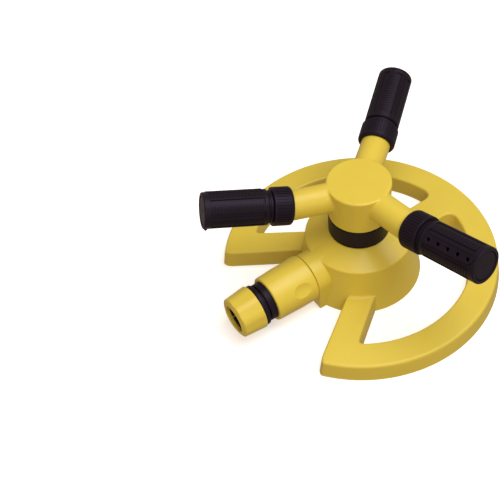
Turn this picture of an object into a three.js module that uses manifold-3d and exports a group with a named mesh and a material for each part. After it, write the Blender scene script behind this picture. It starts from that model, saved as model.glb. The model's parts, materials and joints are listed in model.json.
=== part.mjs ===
// A three-arm rotary lawn sprinkler with a pull-off hose connector.
// Millimetres, +Z up. The origin is on the ground under the rotor's axis, and the hose side is -Y.
import * as THREE from 'three';
import { mergeVertices } from 'three/addons/utils/BufferGeometryUtils.js';
import Module from 'manifold-3d';

const wasm = await Module();
wasm.setup();

// ---------------------------------------------------------------- clearances
const GAP = 0.3; // between pieces that rest on each other
const RUN = 0.35; // round pieces that turn or slide in each other

// ---------------------------------------------------------------- base moulding
const BASE_R = 105; // ring, top outer edge
const BASE_DRAFT = 2; // how much wider the ring is on the ground
const RING_W = 20.3;
const RING_H = 14.2;
const RING_ROUND = 2.5;
const SKIN = 2.4; // wall of the moulding
const HUB_R = 40.6; // top outer edge
const HUB_WAIST_R = 43.9; // at the ring's height
const HUB_FOOT_R = 47.6; // on the ground
const HUB_H = 44.5;
const HUB_ROUND = 1.5;
const DECK_DROP = 6.1; // the deck falls this much from the collar to its edge
const DECK = 3; // top wall of the hub
const BACK_SPOKE_W = 23;
const GAP_EDGE = { x: 28.2, y: -33, angle: 34.2 }; // a point on it, and degrees away from -Y
const WINDOW_EDGE = { x: 42.6, y: -19, angle: 35.5 };
const WINDOW_BACK_CORNER = 9;
const WINDOW_FRONT_CORNER = 5.5;
const TIP_CORNER = 9;

// ---------------------------------------------------------------- inlet, on the base
const INLET_Z = 22;
const SHROUD_INSET = 1.25; // the shroud is this much slimmer than the sleeve before it
const SHROUD_FRONT = 49.8; // distance of its face from the rotor's axis
const ELBOW_TUBE_WALL = 2.35;
const WATER_R = 5;
const SPIGOT_R = 8.4; // standard quick-connect plug, over its ridge
const SPIGOT_LENGTH = 26;
const SPIGOT_WALL = 3.6;

// ---------------------------------------------------------------- bearing and rotor
const SPINDLE_R = 8;
const SPINDLE_WALL = 2.4;
const BUSH_WALL = 2.6;
const COLLAR_R = 22.7;
const COLLAR_H = 16.7;
const CHAMBER_WALL = 2.7;
const ROTOR_R = 22.7;
const ROTOR_TOP_R = 23.55;
const ROTOR_H = 30.7;
const ROTOR_SKIN = 2.6;
const BOLT_R = 1.7; // screw shanks
const BOLT_HEAD_R = 3.1;

// ---------------------------------------------------------------- arms and nozzle heads
const ARM_COUNT = 3;
const ARM_FIRST = 7.5; // degrees round from +X
const ARM_TILT = 11.9;
const ARM_RISE = 9.4; // axes cross this far above the rotor's underside
const ELBOW_BACK = 0.5; // arms leave the rotor level and turn up this far before the nut
const ARM_R = 10.9;
const ARM_WALL = 2.7;
const ARM_END = 58.4;
const NUT_START = 51;
const NUT_LENGTH = 14.8;
const NUT_WALL = 2.75;
const NUT_GROOVES = 12;
const NECK_SHOW = 3; // bare neck between nut and barrel
const BARREL_R = 13;
const BARREL_LENGTH = 46.7;
const BARREL_WALL = 3.6;
const RIB_COUNT = 8;
const RIB_W = 5.8;
const PANEL_DEPTH = 0.9;
const STRIP_LENGTH = 40.5;
const STRIP_W = 6.2;
const STRIP_THICK = 1.5;
const JET_COUNT = 5;
const JET_PITCH = 8.2;
const JET_R = 1.3;
const HEAD_TWIST = [45, 180, 45]; // degrees from straight up, clockwise from above

// ---------------------------------------------------------------- hose connector
const SOCKET_WALL = 3.2;
const BAND_STEP = 2.85; // band that the sleeve slides on, outside the socket
const FLANGE_STEP = 1.2;
const SLEEVE_WALL = 2.4;
const SLEEVE_FLARE = 0.9; // how much wider its back is than its front
const SLEEVE_LENGTH = 35;
const SLEEVE_TRAVEL = 4;
const DIMPLE_COUNT = 3;
const SPRING_WIRE_R = 0.6;
const SPRING_TURNS = 5;
const BARB_R = 6.4;
const HOSE_NUT_WALL = 5;
const HOSE_NUT_LENGTH = 19;
const HOSE_NUT_FLATS = 9;
const HOSE_BORE_R = 10.5;
const FINGERS = 8;

// ---------------------------------------------------------------- facets
const FINE = 48; // base moulding
const MEDIUM = 32; // other large turned pieces
const ROUND = 16;
const SMALL = 8;

// ---------------------------------------------------------------- materials
const finish = (color, roughness) => () =>
  new THREE.MeshStandardMaterial({ color, roughness, metalness: 0 });
const yellow = finish(0xe0c54c, 0.35);
const black = finish(0x2f2328, 0.4);
const rubber = finish(0x1c1c1e, 0.8);
const natural = finish(0xd9d6cb, 0.5);
const metal = (color) => () =>
  new THREE.MeshStandardMaterial({ color, roughness: 0.3, metalness: 1 });
const steel = metal(0xb9bcc0);
const brass = metal(0xc8a24a);

// ---------------------------------------------------------------- solids
// Turns a closed three.js geometry into a manifold solid, with its faces pointing out.
function solid(geometry, matrix) {
  const shape = geometry.clone();
  shape.deleteAttribute('normal');
  shape.deleteAttribute('uv');
  if (matrix) shape.applyMatrix4(matrix);
  const merged = mergeVertices(shape, 1e-4);
  const points = merged.attributes.position.array;
  const index = merged.index.array;
  const triangles = [];
  let volume = 0;
  const corner = [new THREE.Vector3(), new THREE.Vector3(), new THREE.Vector3()];
  for (let i = 0; i < index.length; i += 3) {
    const [a, b, c] = [index[i], index[i + 1], index[i + 2]];
    if (a === b || b === c || c === a) continue;
    triangles.push(a, b, c);
    corner.forEach((point, k) => point.fromArray(points, 3 * index[i + k]));
    volume += corner[0].dot(corner[1].clone().cross(corner[2]));
  }
  if (volume < 0) triangles.reverse();
  return new wasm.Manifold(
    new wasm.Mesh({
      numProp: 3,
      vertProperties: new Float32Array(points),
      triVerts: new Uint32Array(triangles),
    }),
  );
}

function toGeometry(manifold) {
  const mesh = manifold.getMesh();
  const geometry = new THREE.BufferGeometry();
  geometry.setAttribute('position', new THREE.BufferAttribute(mesh.vertProperties, 3));
  geometry.setIndex(new THREE.BufferAttribute(mesh.triVerts, 1));
  return geometry;
}

// A closed [radius, height] outline turned about Z.
const UPRIGHT = new THREE.Matrix4().makeRotationX(Math.PI / 2);
function turned(outline, segments = ROUND) {
  const points = outline.map(([r, z]) => new THREE.Vector2(r, z));
  points.push(points[0].clone());
  return solid(new THREE.LatheGeometry(points, segments), UPRIGHT);
}

// A plain ring or disc between two heights.
function ring(inner, outer, low, high, segments = ROUND) {
  const outline = [
    [inner, low],
    [outer, low],
    [outer, high],
    [inner, high],
  ];
  return turned(outline, segments);
}

// A rod along Z, moved sideways.
function rod(radius, low, high, x = 0, y = 0, segments = SMALL) {
  return ring(0, radius, low, high, segments).translate(x, y, 0);
}

function block(width, depth, height, x, y, z) {
  const box = new THREE.BoxGeometry(width, depth, height);
  return solid(box, new THREE.Matrix4().makeTranslation(x, y, z));
}

function prism(shape, low, high, curveSegments = SMALL) {
  const settings = { depth: high - low, bevelEnabled: false, curveSegments };
  const geometry = new THREE.ExtrudeGeometry(shape, settings);
  return solid(geometry, new THREE.Matrix4().makeTranslation(0, 0, low));
}

const radians = THREE.MathUtils.degToRad;
const onCircle = (radius, degrees) =>
  new THREE.Vector2(radius * Math.cos(radians(degrees)), radius * Math.sin(radians(degrees)));

function aroundZ(count, make) {
  return Array.from({ length: count }, (unused, k) => make((360 * k) / count));
}

// Quarter round from one edge to the next, as [radius, height] points.
function quarter(r, z, radius, fromDegrees, steps = 4) {
  return Array.from({ length: steps + 1 }, (unused, k) => {
    const a = radians(fromDegrees + (90 * k) / steps);
    return [r + radius * Math.cos(a), z + radius * Math.sin(a)];
  });
}

// ---------------------------------------------------------------- heights that follow
const DECK_UNDER = HUB_H - DECK;
const COLLAR_TOP = HUB_H + GAP + COLLAR_H;
const ROTOR_Z = COLLAR_TOP + GAP;
const BUSH_R = SPINDLE_R + RUN + BUSH_WALL;
const CHAMBER_R = BUSH_R + 2 * GAP + 0.8;
const CHAMBER_FLOOR = INLET_Z + WATER_R + 1;
const CHAMBER_DEEP = DECK_UNDER - CHAMBER_FLOOR;
const SOCKET_R = SPIGOT_R + 0.2 + RUN;
const ELBOW_TUBE_R = SOCKET_R + ELBOW_TUBE_WALL;
const SOCKET_BORE = SPIGOT_R + RUN;
const SOCKET_R_OUT = SOCKET_BORE + SOCKET_WALL;
const BAND_R = SOCKET_R_OUT + BAND_STEP;
const FLANGE_R = BAND_R + FLANGE_STEP;
const SLEEVE_BORE = BAND_R + RUN;
const SLEEVE_FRONT_R = SLEEVE_BORE + SLEEVE_WALL;
const SLEEVE_BACK_R = SLEEVE_FRONT_R + SLEEVE_FLARE;
const SHROUD_R = SLEEVE_BACK_R - SHROUD_INSET;
const SHROUD_BACK = HUB_R - 7.8;
const DECK_FLAT_R = COLLAR_R + 1.5;
const FLANGE_RING_R = CHAMBER_R + CHAMBER_WALL + 2 * (BOLT_HEAD_R + GAP) + 1.2;
const BOLT_CIRCLE = CHAMBER_R + CHAMBER_WALL + BOLT_HEAD_R + 3 * GAP;
const COVER_THICK = 3;
const BOSS_R = 4.4;
const BOSS_CIRCLE = HUB_R - SKIN - BOSS_R - 1;

// ---------------------------------------------------------------- base shell
// Where the straight line through `edge`, moved sideways by `inset`, meets a circle.
function edgeMeets(edge, inset, radius) {
  const along = new THREE.Vector2(Math.sin(radians(edge.angle)), -Math.cos(radians(edge.angle)));
  const start = new THREE.Vector2(edge.x - inset * along.y, edge.y + inset * along.x);
  const half = start.dot(along);
  const reach = -half + Math.sqrt(half * half - start.lengthSq() + radius * radius);
  return start.addScaledVector(along, reach);
}

const degreesOf = (point) => THREE.MathUtils.radToDeg(Math.atan2(point.y, point.x));

// The opening between two spokes on the +X side. A positive inset widens it.
function windowShape(inset) {
  const inner = HUB_WAIST_R - inset;
  const outer = BASE_R - RING_W + inset;
  const side = BACK_SPOKE_W / 2 - inset;
  const back = WINDOW_BACK_CORNER + inset;
  const front = WINDOW_FRONT_CORNER + inset;
  const frontInner = edgeMeets(WINDOW_EDGE, -inset, inner);
  const frontOuter = edgeMeets(WINDOW_EDGE, -inset, outer);
  const backInner = new THREE.Vector2(side, Math.sqrt(inner ** 2 - side ** 2));
  const backOuter = new THREE.Vector2(side, Math.sqrt(outer ** 2 - side ** 2));
  const turnBack = THREE.MathUtils.radToDeg(back / outer);
  const turnFront = THREE.MathUtils.radToDeg(front / outer);
  const small = back / 2;
  const turnIn = THREE.MathUtils.radToDeg(small / inner);
  const along = frontOuter.clone().sub(frontInner).normalize();
  const arc = (shape, radius, from, to) =>
    shape.absarc(0, 0, radius, radians(from), radians(to), to < from);

  const shape = new THREE.Shape();
  const start = frontInner.clone().addScaledVector(along, small);
  shape.moveTo(start.x, start.y);
  const beforeRing = frontOuter.clone().addScaledVector(along, -front);
  shape.lineTo(beforeRing.x, beforeRing.y);
  const onRing = onCircle(outer, degreesOf(frontOuter) + turnFront);
  shape.quadraticCurveTo(frontOuter.x, frontOuter.y, onRing.x, onRing.y);
  arc(shape, outer, degreesOf(frontOuter) + turnFront, degreesOf(backOuter) - turnBack);
  shape.quadraticCurveTo(backOuter.x, backOuter.y, side, backOuter.y - back);
  shape.lineTo(side, backInner.y + small);
  const onHub = onCircle(inner, degreesOf(backInner) - turnIn);
  shape.quadraticCurveTo(backInner.x, backInner.y, onHub.x, onHub.y);
  arc(shape, inner, degreesOf(backInner) - turnIn, degreesOf(frontInner) + turnIn);
  shape.quadraticCurveTo(frontInner.x, frontInner.y, start.x, start.y);
  return shape;
}

// The notch in the ring that the connector lies in, with rounded tips.
function notchShape(inset) {
  const mouth = BASE_R + BASE_DRAFT + 10;
  const root = edgeMeets(GAP_EDGE, inset, HUB_WAIST_R - SKIN);
  const rim = BASE_R + BASE_DRAFT - inset;
  const tip = edgeMeets(GAP_EDGE, inset, rim);
  const along = tip.clone().sub(root).normalize();
  const turn = THREE.MathUtils.radToDeg(TIP_CORNER / BASE_R);
  const beforeTip = tip.clone().addScaledVector(along, -TIP_CORNER);
  const afterTip = onCircle(rim, degreesOf(tip) + turn);
  const outside = onCircle(mouth, degreesOf(tip) + turn);
  const shape = new THREE.Shape();
  shape.moveTo(root.x, root.y);
  shape.lineTo(beforeTip.x, beforeTip.y);
  shape.quadraticCurveTo(tip.x, tip.y, afterTip.x, afterTip.y);
  shape.lineTo(outside.x, outside.y);
  shape.lineTo(outside.x, -2 * mouth);
  shape.lineTo(-outside.x, -2 * mouth);
  shape.lineTo(-outside.x, outside.y);
  shape.lineTo(-afterTip.x, afterTip.y);
  shape.quadraticCurveTo(-tip.x, tip.y, -beforeTip.x, beforeTip.y);
  shape.lineTo(-root.x, root.y);
  shape.closePath();
  return shape;
}

// Ring and spokes in plan, cut from a disc. The inset version is the hollow underneath.
function plate(disc, inset, low, high) {
  const pane = prism(windowShape(inset), low, high);
  const panes = pane.add(pane.mirror([1, 0, 0]));
  return disc.subtract(panes).subtract(prism(notchShape(inset), low, high));
}

// An arch over the inlet: a round top with straight sides down to the ground.
function arch(radius, near, far, floor) {
  const shape = new THREE.Shape();
  shape.moveTo(radius, floor - INLET_Z);
  shape.lineTo(radius, 0);
  shape.absarc(0, 0, radius, 0, Math.PI, false);
  shape.lineTo(-radius, floor - INLET_Z);
  shape.closePath();
  return prism(shape, near, far).transform(INLET_FRAME.toArray());
}

// Local +Z runs out along the inlet, local +Y is up.
const INLET_FRAME = new THREE.Matrix4()
  .makeRotationX(Math.PI / 2)
  .setPosition(0, 0, INLET_Z);

function hubOutline(inset) {
  const top = HUB_H - inset;
  const edge = top - DECK_DROP;
  const round = Math.max(HUB_ROUND - inset, 1);
  return [
    [0, inset > 0 ? -1 : 0],
    [HUB_FOOT_R - inset, inset > 0 ? -1 : 0],
    [HUB_FOOT_R - inset, 0],
    [HUB_WAIST_R - inset, RING_H],
    ...quarter(HUB_R - inset - round, edge - round, round, 0),
    [DECK_FLAT_R, top],
    [0, top],
  ];
}

const bossPlaces = aroundZ(4, (degrees) => onCircle(BOSS_CIRCLE, degrees + 45));
const boltPlaces = aroundZ(3, (degrees) => onCircle(BOLT_CIRCLE, degrees + 90));

function baseShell() {
  const foot = BASE_R + BASE_DRAFT;
  const disc = turned(
    [
      [0, 0],
      [foot, 0],
      ...quarter(BASE_R - RING_ROUND, RING_H - RING_ROUND, RING_ROUND, 0),
      [0, RING_H],
    ],
    FINE,
  );
  const hub = turned(hubOutline(0), FINE);
  const under = ring(0, BASE_R - SKIN, -1, RING_H - SKIN, FINE);
  const channels = plate(under, SKIN, -2, RING_H).subtract(hub);
  let shell = plate(disc, 0, -1, RING_H + 1).add(hub);
  shell = shell.add(arch(SHROUD_R, SHROUD_BACK, SHROUD_FRONT, 0));
  shell = shell.subtract(channels);
  const inside = turned(hubOutline(SKIN), FINE).intersect(
    ring(0, BASE_R, -1, DECK_UNDER),
  );
  shell = shell.subtract(inside);
  const shroudInside = arch(SHROUD_R - SKIN, SHROUD_BACK + SKIN, SHROUD_FRONT - SKIN, -1);
  shell = shell.subtract(shroudInside);
  const plugHole = rod(SOCKET_R, SHROUD_BACK, SHROUD_FRONT + 1, 0, 0, ROUND);
  shell = shell.subtract(plugHole.transform(INLET_FRAME.toArray()));
  shell = shell.subtract(ring(0, BUSH_R + RUN, DECK_UNDER - 1, HUB_H + 1));
  const bossLimit = turned(hubOutline(1), FINE);
  for (const { x, y } of bossPlaces) {
    const boss = rod(BOSS_R, COVER_THICK + GAP, DECK_UNDER + 0.5, x, y);
    shell = shell.add(boss.intersect(bossLimit));
  }
  for (const { x, y } of bossPlaces) {
    shell = shell.subtract(rod(BOLT_R, COVER_THICK, SCREW_LENGTH + 4, x, y));
  }
  for (const { x, y } of boltPlaces) {
    shell = shell.subtract(rod(BOLT_R + GAP, DECK_UNDER - 1, HUB_H + 1, x, y));
  }
  return shell;
}

// ---------------------------------------------------------------- bottom cover and screws
const SCREW_LENGTH = 10;
const HEAD_THICK = 1.6;
const HEAD_DEPTH = 2.2; // of the counterbore under the cover

function bottomCover() {
  const rim = HUB_FOOT_R - SKIN - RUN - (HUB_FOOT_R - HUB_WAIST_R) * (COVER_THICK / RING_H);
  let cover = ring(0, rim, 0, COVER_THICK, FINE);
  const tab = SHROUD_FRONT - SKIN - RUN;
  cover = cover.add(
    block(2 * (SHROUD_R - SKIN - RUN), tab, COVER_THICK, 0, -tab / 2, COVER_THICK / 2),
  );
  for (const { x, y } of bossPlaces) {
    cover = cover.subtract(rod(BOLT_R, -1, COVER_THICK + 1, x, y));
    cover = cover.subtract(rod(BOLT_HEAD_R + RUN, -1, HEAD_DEPTH, x, y));
  }
  return cover;
}

// A pan-head screw pointing up, with its head's underside at height 0 and a cross in the head.
function screw(length) {
  const body = turned(
    [
      [0, -HEAD_THICK],
      [BOLT_HEAD_R - 0.6, -HEAD_THICK],
      [BOLT_HEAD_R, 0.6 - HEAD_THICK],
      [BOLT_HEAD_R, 0],
      [BOLT_R - GAP, 0],
      [BOLT_R - GAP, length - 2],
      [0, length],
    ],
    SMALL,
  );
  const slot = block(BOLT_HEAD_R * 1.1, 0.8, 1.4, 0, 0, -HEAD_THICK);
  return body.subtract(slot).subtract(slot.rotate([0, 0, 90]));
}

// ---------------------------------------------------------------- water way in the base
const ELBOW_FLOOR = SHROUD_FRONT - 15.9; // where the socket for the plug ends

function waterElbow() {
  const chamberFloor = INLET_Z - WATER_R - CHAMBER_WALL;
  const top = DECK_UNDER - GAP;
  const flange = 3;
  let elbow = ring(0, CHAMBER_R + CHAMBER_WALL, chamberFloor, top);
  elbow = elbow.add(ring(0, FLANGE_RING_R, top - flange, top, MEDIUM));
  const tubeEnd = SHROUD_FRONT - SKIN - GAP;
  const tube = rod(ELBOW_TUBE_R, 0, tubeEnd, 0, 0, ROUND).transform(INLET_FRAME.toArray());
  elbow = elbow.add(tube);
  elbow = elbow.subtract(ring(0, CHAMBER_R, CHAMBER_FLOOR, top + 1));
  elbow = elbow.subtract(ring(0, WATER_R, INLET_Z - WATER_R, top));
  const bore = rod(WATER_R, 0, tubeEnd, 0, 0, ROUND);
  const socket = rod(SOCKET_R, ELBOW_FLOOR, tubeEnd + 1, 0, 0, ROUND);
  elbow = elbow.subtract(bore.add(socket).transform(INLET_FRAME.toArray()));
  for (const { x, y } of boltPlaces) {
    elbow = elbow.subtract(rod(BOLT_R + GAP, top - flange - 1, top + 1, x, y));
  }
  return elbow;
}

// Plug, along the inlet. Distances run out from the rotor's axis.
const PLUG_START = ELBOW_FLOOR + 1.8;
const PLUG_FLANGE = SHROUD_FRONT + GAP;
const PLUG_TIP = SHROUD_FRONT + SPIGOT_LENGTH;
const O_RING_AT = PLUG_TIP - 5.2;
const O_RING_R = 1;
const LATCH_AT = SHROUD_FRONT + 10.2;

function inletPlug() {
  const bore = SPIGOT_R - SPIGOT_WALL;
  const nose = SPIGOT_R - 0.9;
  return turned([
    [bore, PLUG_START],
    [SPIGOT_R, PLUG_START],
    [SPIGOT_R, PLUG_FLANGE],
    [SPIGOT_R + 3, PLUG_FLANGE],
    [SPIGOT_R + 3, PLUG_FLANGE + 2],
    [SPIGOT_R, PLUG_FLANGE + 2],
    [SPIGOT_R, LATCH_AT],
    [SPIGOT_R - 1.5, LATCH_AT],
    [SPIGOT_R - 1.5, LATCH_AT + 4],
    [SPIGOT_R, LATCH_AT + 4.4],
    [SPIGOT_R, LATCH_AT + 6],
    [nose, LATCH_AT + 7.5],
    [nose, O_RING_AT - 1.3],
    [nose - 1.6, O_RING_AT - 1.3],
    [nose - 1.6, O_RING_AT + 1.3],
    [nose, O_RING_AT + 1.3],
    [nose, PLUG_TIP - 0.8],
    [nose - 0.8, PLUG_TIP],
    [bore, PLUG_TIP],
  ]);
}

function torus(radius, tube, at) {
  const outline = aroundZ(8, (degrees) => {
    const point = onCircle(tube, degrees);
    return [radius + point.x, at + point.y];
  });
  return turned(outline);
}

const plugORing = () => torus(SPIGOT_R - 0.9 - 1.6 + O_RING_R + 0.25, O_RING_R, O_RING_AT);
const inletGasket = () =>
  ring(WATER_R, SPIGOT_R, ELBOW_FLOOR + GAP, PLUG_START - GAP);

// ---------------------------------------------------------------- bearing
const BUSH_LIP = 1.5;
const BUSH_LIP_R = BUSH_R + 2.2;

function bearingCollar() {
  let collar = turned(
    [
      [BUSH_R + RUN, HUB_H + GAP],
      [COLLAR_R, HUB_H + GAP],
      [COLLAR_R, COLLAR_TOP - 0.6],
      [COLLAR_R - 0.6, COLLAR_TOP],
      [BUSH_LIP_R + GAP, COLLAR_TOP],
      [BUSH_LIP_R + GAP, COLLAR_TOP - BUSH_LIP - 2 * GAP],
      [BUSH_R + RUN, COLLAR_TOP - BUSH_LIP - 2 * GAP],
    ],
    MEDIUM,
  );
  for (const { x, y } of boltPlaces) {
    collar = collar.subtract(rod(BOLT_R, HUB_H, HUB_H + SCREW_LENGTH - 1, x, y));
  }
  return collar;
}

function bearingBush() {
  const lipTop = COLLAR_TOP - GAP;
  return turned([
    [SPINDLE_R + RUN, DECK_UNDER + GAP],
    [BUSH_R, DECK_UNDER + GAP],
    [BUSH_R, lipTop - BUSH_LIP],
    [BUSH_LIP_R, lipTop - BUSH_LIP],
    [BUSH_LIP_R, lipTop],
    [SPINDLE_R + RUN, lipTop],
  ]);
}

const SEAL_THICK = CHAMBER_DEEP / 4;
const WASHER_THICK = 1.2;
const SPINDLE_HEAD = 0.18 * CHAMBER_DEEP;
const WASHER_TOP = DECK_UNDER - 2 * GAP - SEAL_THICK;
const HEAD_TOP = WASHER_TOP - WASHER_THICK - GAP;

const shaftSeal = () =>
  turned([
    [SPINDLE_R + RUN, WASHER_TOP + GAP],
    [CHAMBER_R - GAP, WASHER_TOP + GAP],
    [CHAMBER_R - GAP, DECK_UNDER - GAP],
    [SPINDLE_R + 1.4, DECK_UNDER - GAP],
    [SPINDLE_R + RUN, DECK_UNDER - SEAL_THICK / 2],
  ]);
const thrustWasher = () =>
  ring(SPINDLE_R + RUN, CHAMBER_R - RUN, WASHER_TOP - WASHER_THICK, WASHER_TOP);

// ---------------------------------------------------------------- rotor
const FLOOR_THICK = 3;
const FLOOR_TOP = ROTOR_Z + GAP + FLOOR_THICK;
const SPINDLE_NUT_THICK = 5;
const SPINDLE_TOP = FLOOR_TOP + GAP + SPINDLE_NUT_THICK + 2;

function spindle() {
  const low = HEAD_TOP - SPINDLE_HEAD;
  const bore = SPINDLE_R - SPINDLE_WALL;
  return turned([
    [bore, low],
    [CHAMBER_R - 2 * RUN, low],
    [CHAMBER_R - 2 * RUN, HEAD_TOP],
    [SPINDLE_R, HEAD_TOP],
    [SPINDLE_R, SPINDLE_TOP],
    [bore, SPINDLE_TOP],
  ]);
}

// Frame of one arm: local +Z runs out along the arm and local +Y is the upper side.
function armFrame(k) {
  const azimuth = radians(ARM_FIRST + (360 / ARM_COUNT) * k);
  const tilt = radians(ARM_TILT);
  const out = new THREE.Vector3(
    Math.cos(azimuth) * Math.cos(tilt),
    Math.sin(azimuth) * Math.cos(tilt),
    Math.sin(tilt),
  );
  const up = new THREE.Vector3(
    -Math.cos(azimuth) * Math.sin(tilt),
    -Math.sin(azimuth) * Math.sin(tilt),
    Math.cos(tilt),
  );
  const side = new THREE.Vector3().crossVectors(up, out);
  return new THREE.Matrix4().makeBasis(side, up, out).setPosition(0, 0, ROTOR_Z + ARM_RISE);
}

// One arm: level from the rotor's axis to the elbow, then along the head's axis. A smaller radius
// gives its bore, which starts away from the axis.
function arm(frame, radius, near, far) {
  const elbow = new THREE.Vector3(0, 0, NUT_START - ELBOW_BACK).applyMatrix4(frame);
  const reach = Math.hypot(elbow.x, elbow.y);
  const outward = Math.atan2(elbow.y, elbow.x);
  const level = new THREE.Matrix4()
    .makeRotationZ(outward)
    .multiply(new THREE.Matrix4().makeRotationY(Math.PI / 2))
    .setPosition(0, 0, elbow.z);
  const mitre = radius * Math.tan(radians(ARM_TILT) / 2);
  const inner = rod(radius, near, reach + mitre, 0, 0, ROUND).transform(level.toArray());
  const turnUp = NUT_START - ELBOW_BACK - mitre;
  return inner.add(rod(radius, turnUp, far, 0, 0, ROUND).transform(frame.toArray()));
}

function rotorHub() {
  const top = ROTOR_Z + ROTOR_H;
  const round = 1.5;
  let hub = turned(
    [
      [0, ROTOR_Z],
      [ROTOR_R, ROTOR_Z],
      ...quarter(ROTOR_TOP_R - round, top - round, round, 0, 3),
      [0, top],
    ],
    MEDIUM,
  );
  const frames = Array.from({ length: ARM_COUNT }, (unused, k) => armFrame(k));
  for (const frame of frames) hub = hub.add(arm(frame, ARM_R, 0, ARM_END));
  hub = hub.subtract(ring(0, ROTOR_R - ROTOR_SKIN, ROTOR_Z - 20, top - ROTOR_SKIN, MEDIUM));
  for (const frame of frames) {
    hub = hub.subtract(arm(frame, ARM_R - ARM_WALL, ROTOR_R / 2, ARM_END + 1));
  }
  return hub;
}

const rotorFloor = () =>
  ring(SPINDLE_R + RUN, ROTOR_R - ROTOR_SKIN - GAP, ROTOR_Z + GAP, FLOOR_TOP, MEDIUM);

function spindleNut() {
  const low = FLOOR_TOP + GAP;
  const hex = ring(0, SPINDLE_R + 5, low, low + SPINDLE_NUT_THICK, 6);
  return hex.subtract(ring(0, SPINDLE_R + RUN, low - 1, low + SPINDLE_NUT_THICK + 1));
}

// ---------------------------------------------------------------- nozzle heads
const SEAL_RING = 1.2;
const BARREL_FLANGE = ARM_END + SEAL_RING + 2 * GAP;
const LIP_START = BARREL_FLANGE + 2.2 + GAP;
const NUT_END = NUT_START + NUT_LENGTH;
const BARREL_START = NUT_END + NECK_SHOW;
const BARREL_END = BARREL_START + BARREL_LENGTH;
const NECK_R = ARM_R - 1.3;
const CORE_R = BARREL_R - PANEL_DEPTH;
const BARREL_BORE = BARREL_R - BARREL_WALL;
const STRIP_MID = (BARREL_START + BARREL_END) / 2 + 0.4;
const STRIP_SEAT = BARREL_R - 1.4;
const CAP_THICK = 2.7;

const armSeal = () =>
  ring(ARM_R - ARM_WALL + GAP, ARM_R - GAP, ARM_END + GAP, ARM_END + GAP + SEAL_RING);

// The ribbed nut that clamps the barrel on the arm.
function collarNut() {
  const outer = ARM_R + RUN + NUT_WALL;
  const round = 2.5;
  let nut = turned(
    [
      [ARM_R + RUN, NUT_START],
      [outer - round, NUT_START],
      [outer - round * 0.3, NUT_START + round * 0.3],
      [outer, NUT_START + round],
      [outer, NUT_END - 0.8],
      [outer - 0.8, NUT_END],
      [NECK_R + RUN, NUT_END],
      [NECK_R + RUN, LIP_START],
      [ARM_R + RUN, LIP_START],
    ],
    2 * NUT_GROOVES,
  );
  const groove = block(1.1, 1.2, NUT_LENGTH - 5, 0, outer, NUT_START + NUT_LENGTH / 2 + 0.6);
  for (const turn of aroundZ(NUT_GROOVES, (degrees) => degrees)) {
    nut = nut.subtract(groove.rotate([0, 0, turn]));
  }
  return nut;
}

function stadium(width, length) {
  const half = width / 2;
  const straight = length / 2 - half;
  const shape = new THREE.Shape();
  shape.moveTo(half, -straight);
  shape.lineTo(half, straight);
  shape.absarc(0, straight, half, 0, Math.PI, false);
  shape.lineTo(-half, -straight);
  shape.absarc(0, -straight, half, Math.PI, 2 * Math.PI, false);
  return shape;
}

// Lays a flat outline on the barrel's upper side: its length along the barrel.
function onBarrel(shape, low, high) {
  const lie = new THREE.Matrix4().makeRotationX(-Math.PI / 2).setPosition(0, 0, STRIP_MID);
  return prism(shape, low, high, 3).transform(lie.toArray());
}

function nozzleBarrel() {
  const shoulder = 1.6;
  let barrel = turned([
    [NECK_R - 3, BARREL_FLANGE],
    [ARM_R - GAP, BARREL_FLANGE],
    [ARM_R - GAP, BARREL_FLANGE + 2.2],
    [NECK_R, BARREL_FLANGE + 2.2],
    [NECK_R, NUT_END + GAP],
    [NECK_R + 2.2, NUT_END + GAP],
    [NECK_R + 2.2, BARREL_START],
    [BARREL_R, BARREL_START + shoulder],
    [BARREL_R, BARREL_END - 1],
    [BARREL_R - 1, BARREL_END],
    [BARREL_BORE + 1, BARREL_END],
    [BARREL_BORE + 1, BARREL_END - CAP_THICK - 2 * GAP],
    [BARREL_BORE, BARREL_END - CAP_THICK - 2 * GAP],
    [BARREL_BORE, BARREL_START + shoulder + 2],
    [NECK_R - 3, BARREL_START],
  ]);
  const panelLow = BARREL_START + 3.4;
  const panelHigh = BARREL_END - 4.5;
  const pitch = (2 * Math.PI * BARREL_R) / RIB_COUNT;
  const panel = block(
    pitch - RIB_W,
    2 * PANEL_DEPTH,
    panelHigh - panelLow,
    0,
    BARREL_R,
    (panelHigh + panelLow) / 2,
  );
  for (const turn of aroundZ(RIB_COUNT, (degrees) => degrees)) {
    barrel = barrel.subtract(panel.rotate([0, 0, turn + 180 / RIB_COUNT]));
  }
  const seat = stadium(STRIP_W + 2 * GAP, STRIP_LENGTH + 2 * GAP);
  barrel = barrel.subtract(onBarrel(seat, STRIP_SEAT, BARREL_R + 2));
  const slot = stadium(2 * JET_R + 1, (JET_COUNT - 1) * JET_PITCH + 2 * JET_R + 1);
  return barrel.subtract(onBarrel(slot, BARREL_BORE / 2, BARREL_R));
}

function jetStrip() {
  const low = STRIP_SEAT + GAP;
  let strip = onBarrel(stadium(STRIP_W, STRIP_LENGTH), low, low + STRIP_THICK);
  for (let k = 0; k < JET_COUNT; k += 1) {
    const offset = (k - (JET_COUNT - 1) / 2) * JET_PITCH;
    const hole = rod(JET_R, BARREL_BORE, BARREL_R + 3, 0, 0, 8);
    const lie = new THREE.Matrix4()
      .makeRotationX(-Math.PI / 2)
      .setPosition(0, 0, STRIP_MID + offset);
    strip = strip.subtract(hole.transform(lie.toArray()));
  }
  return strip;
}

const endCap = () =>
  ring(0, BARREL_BORE + 1 - GAP, BARREL_END - CAP_THICK - GAP, BARREL_END - GAP);

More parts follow.
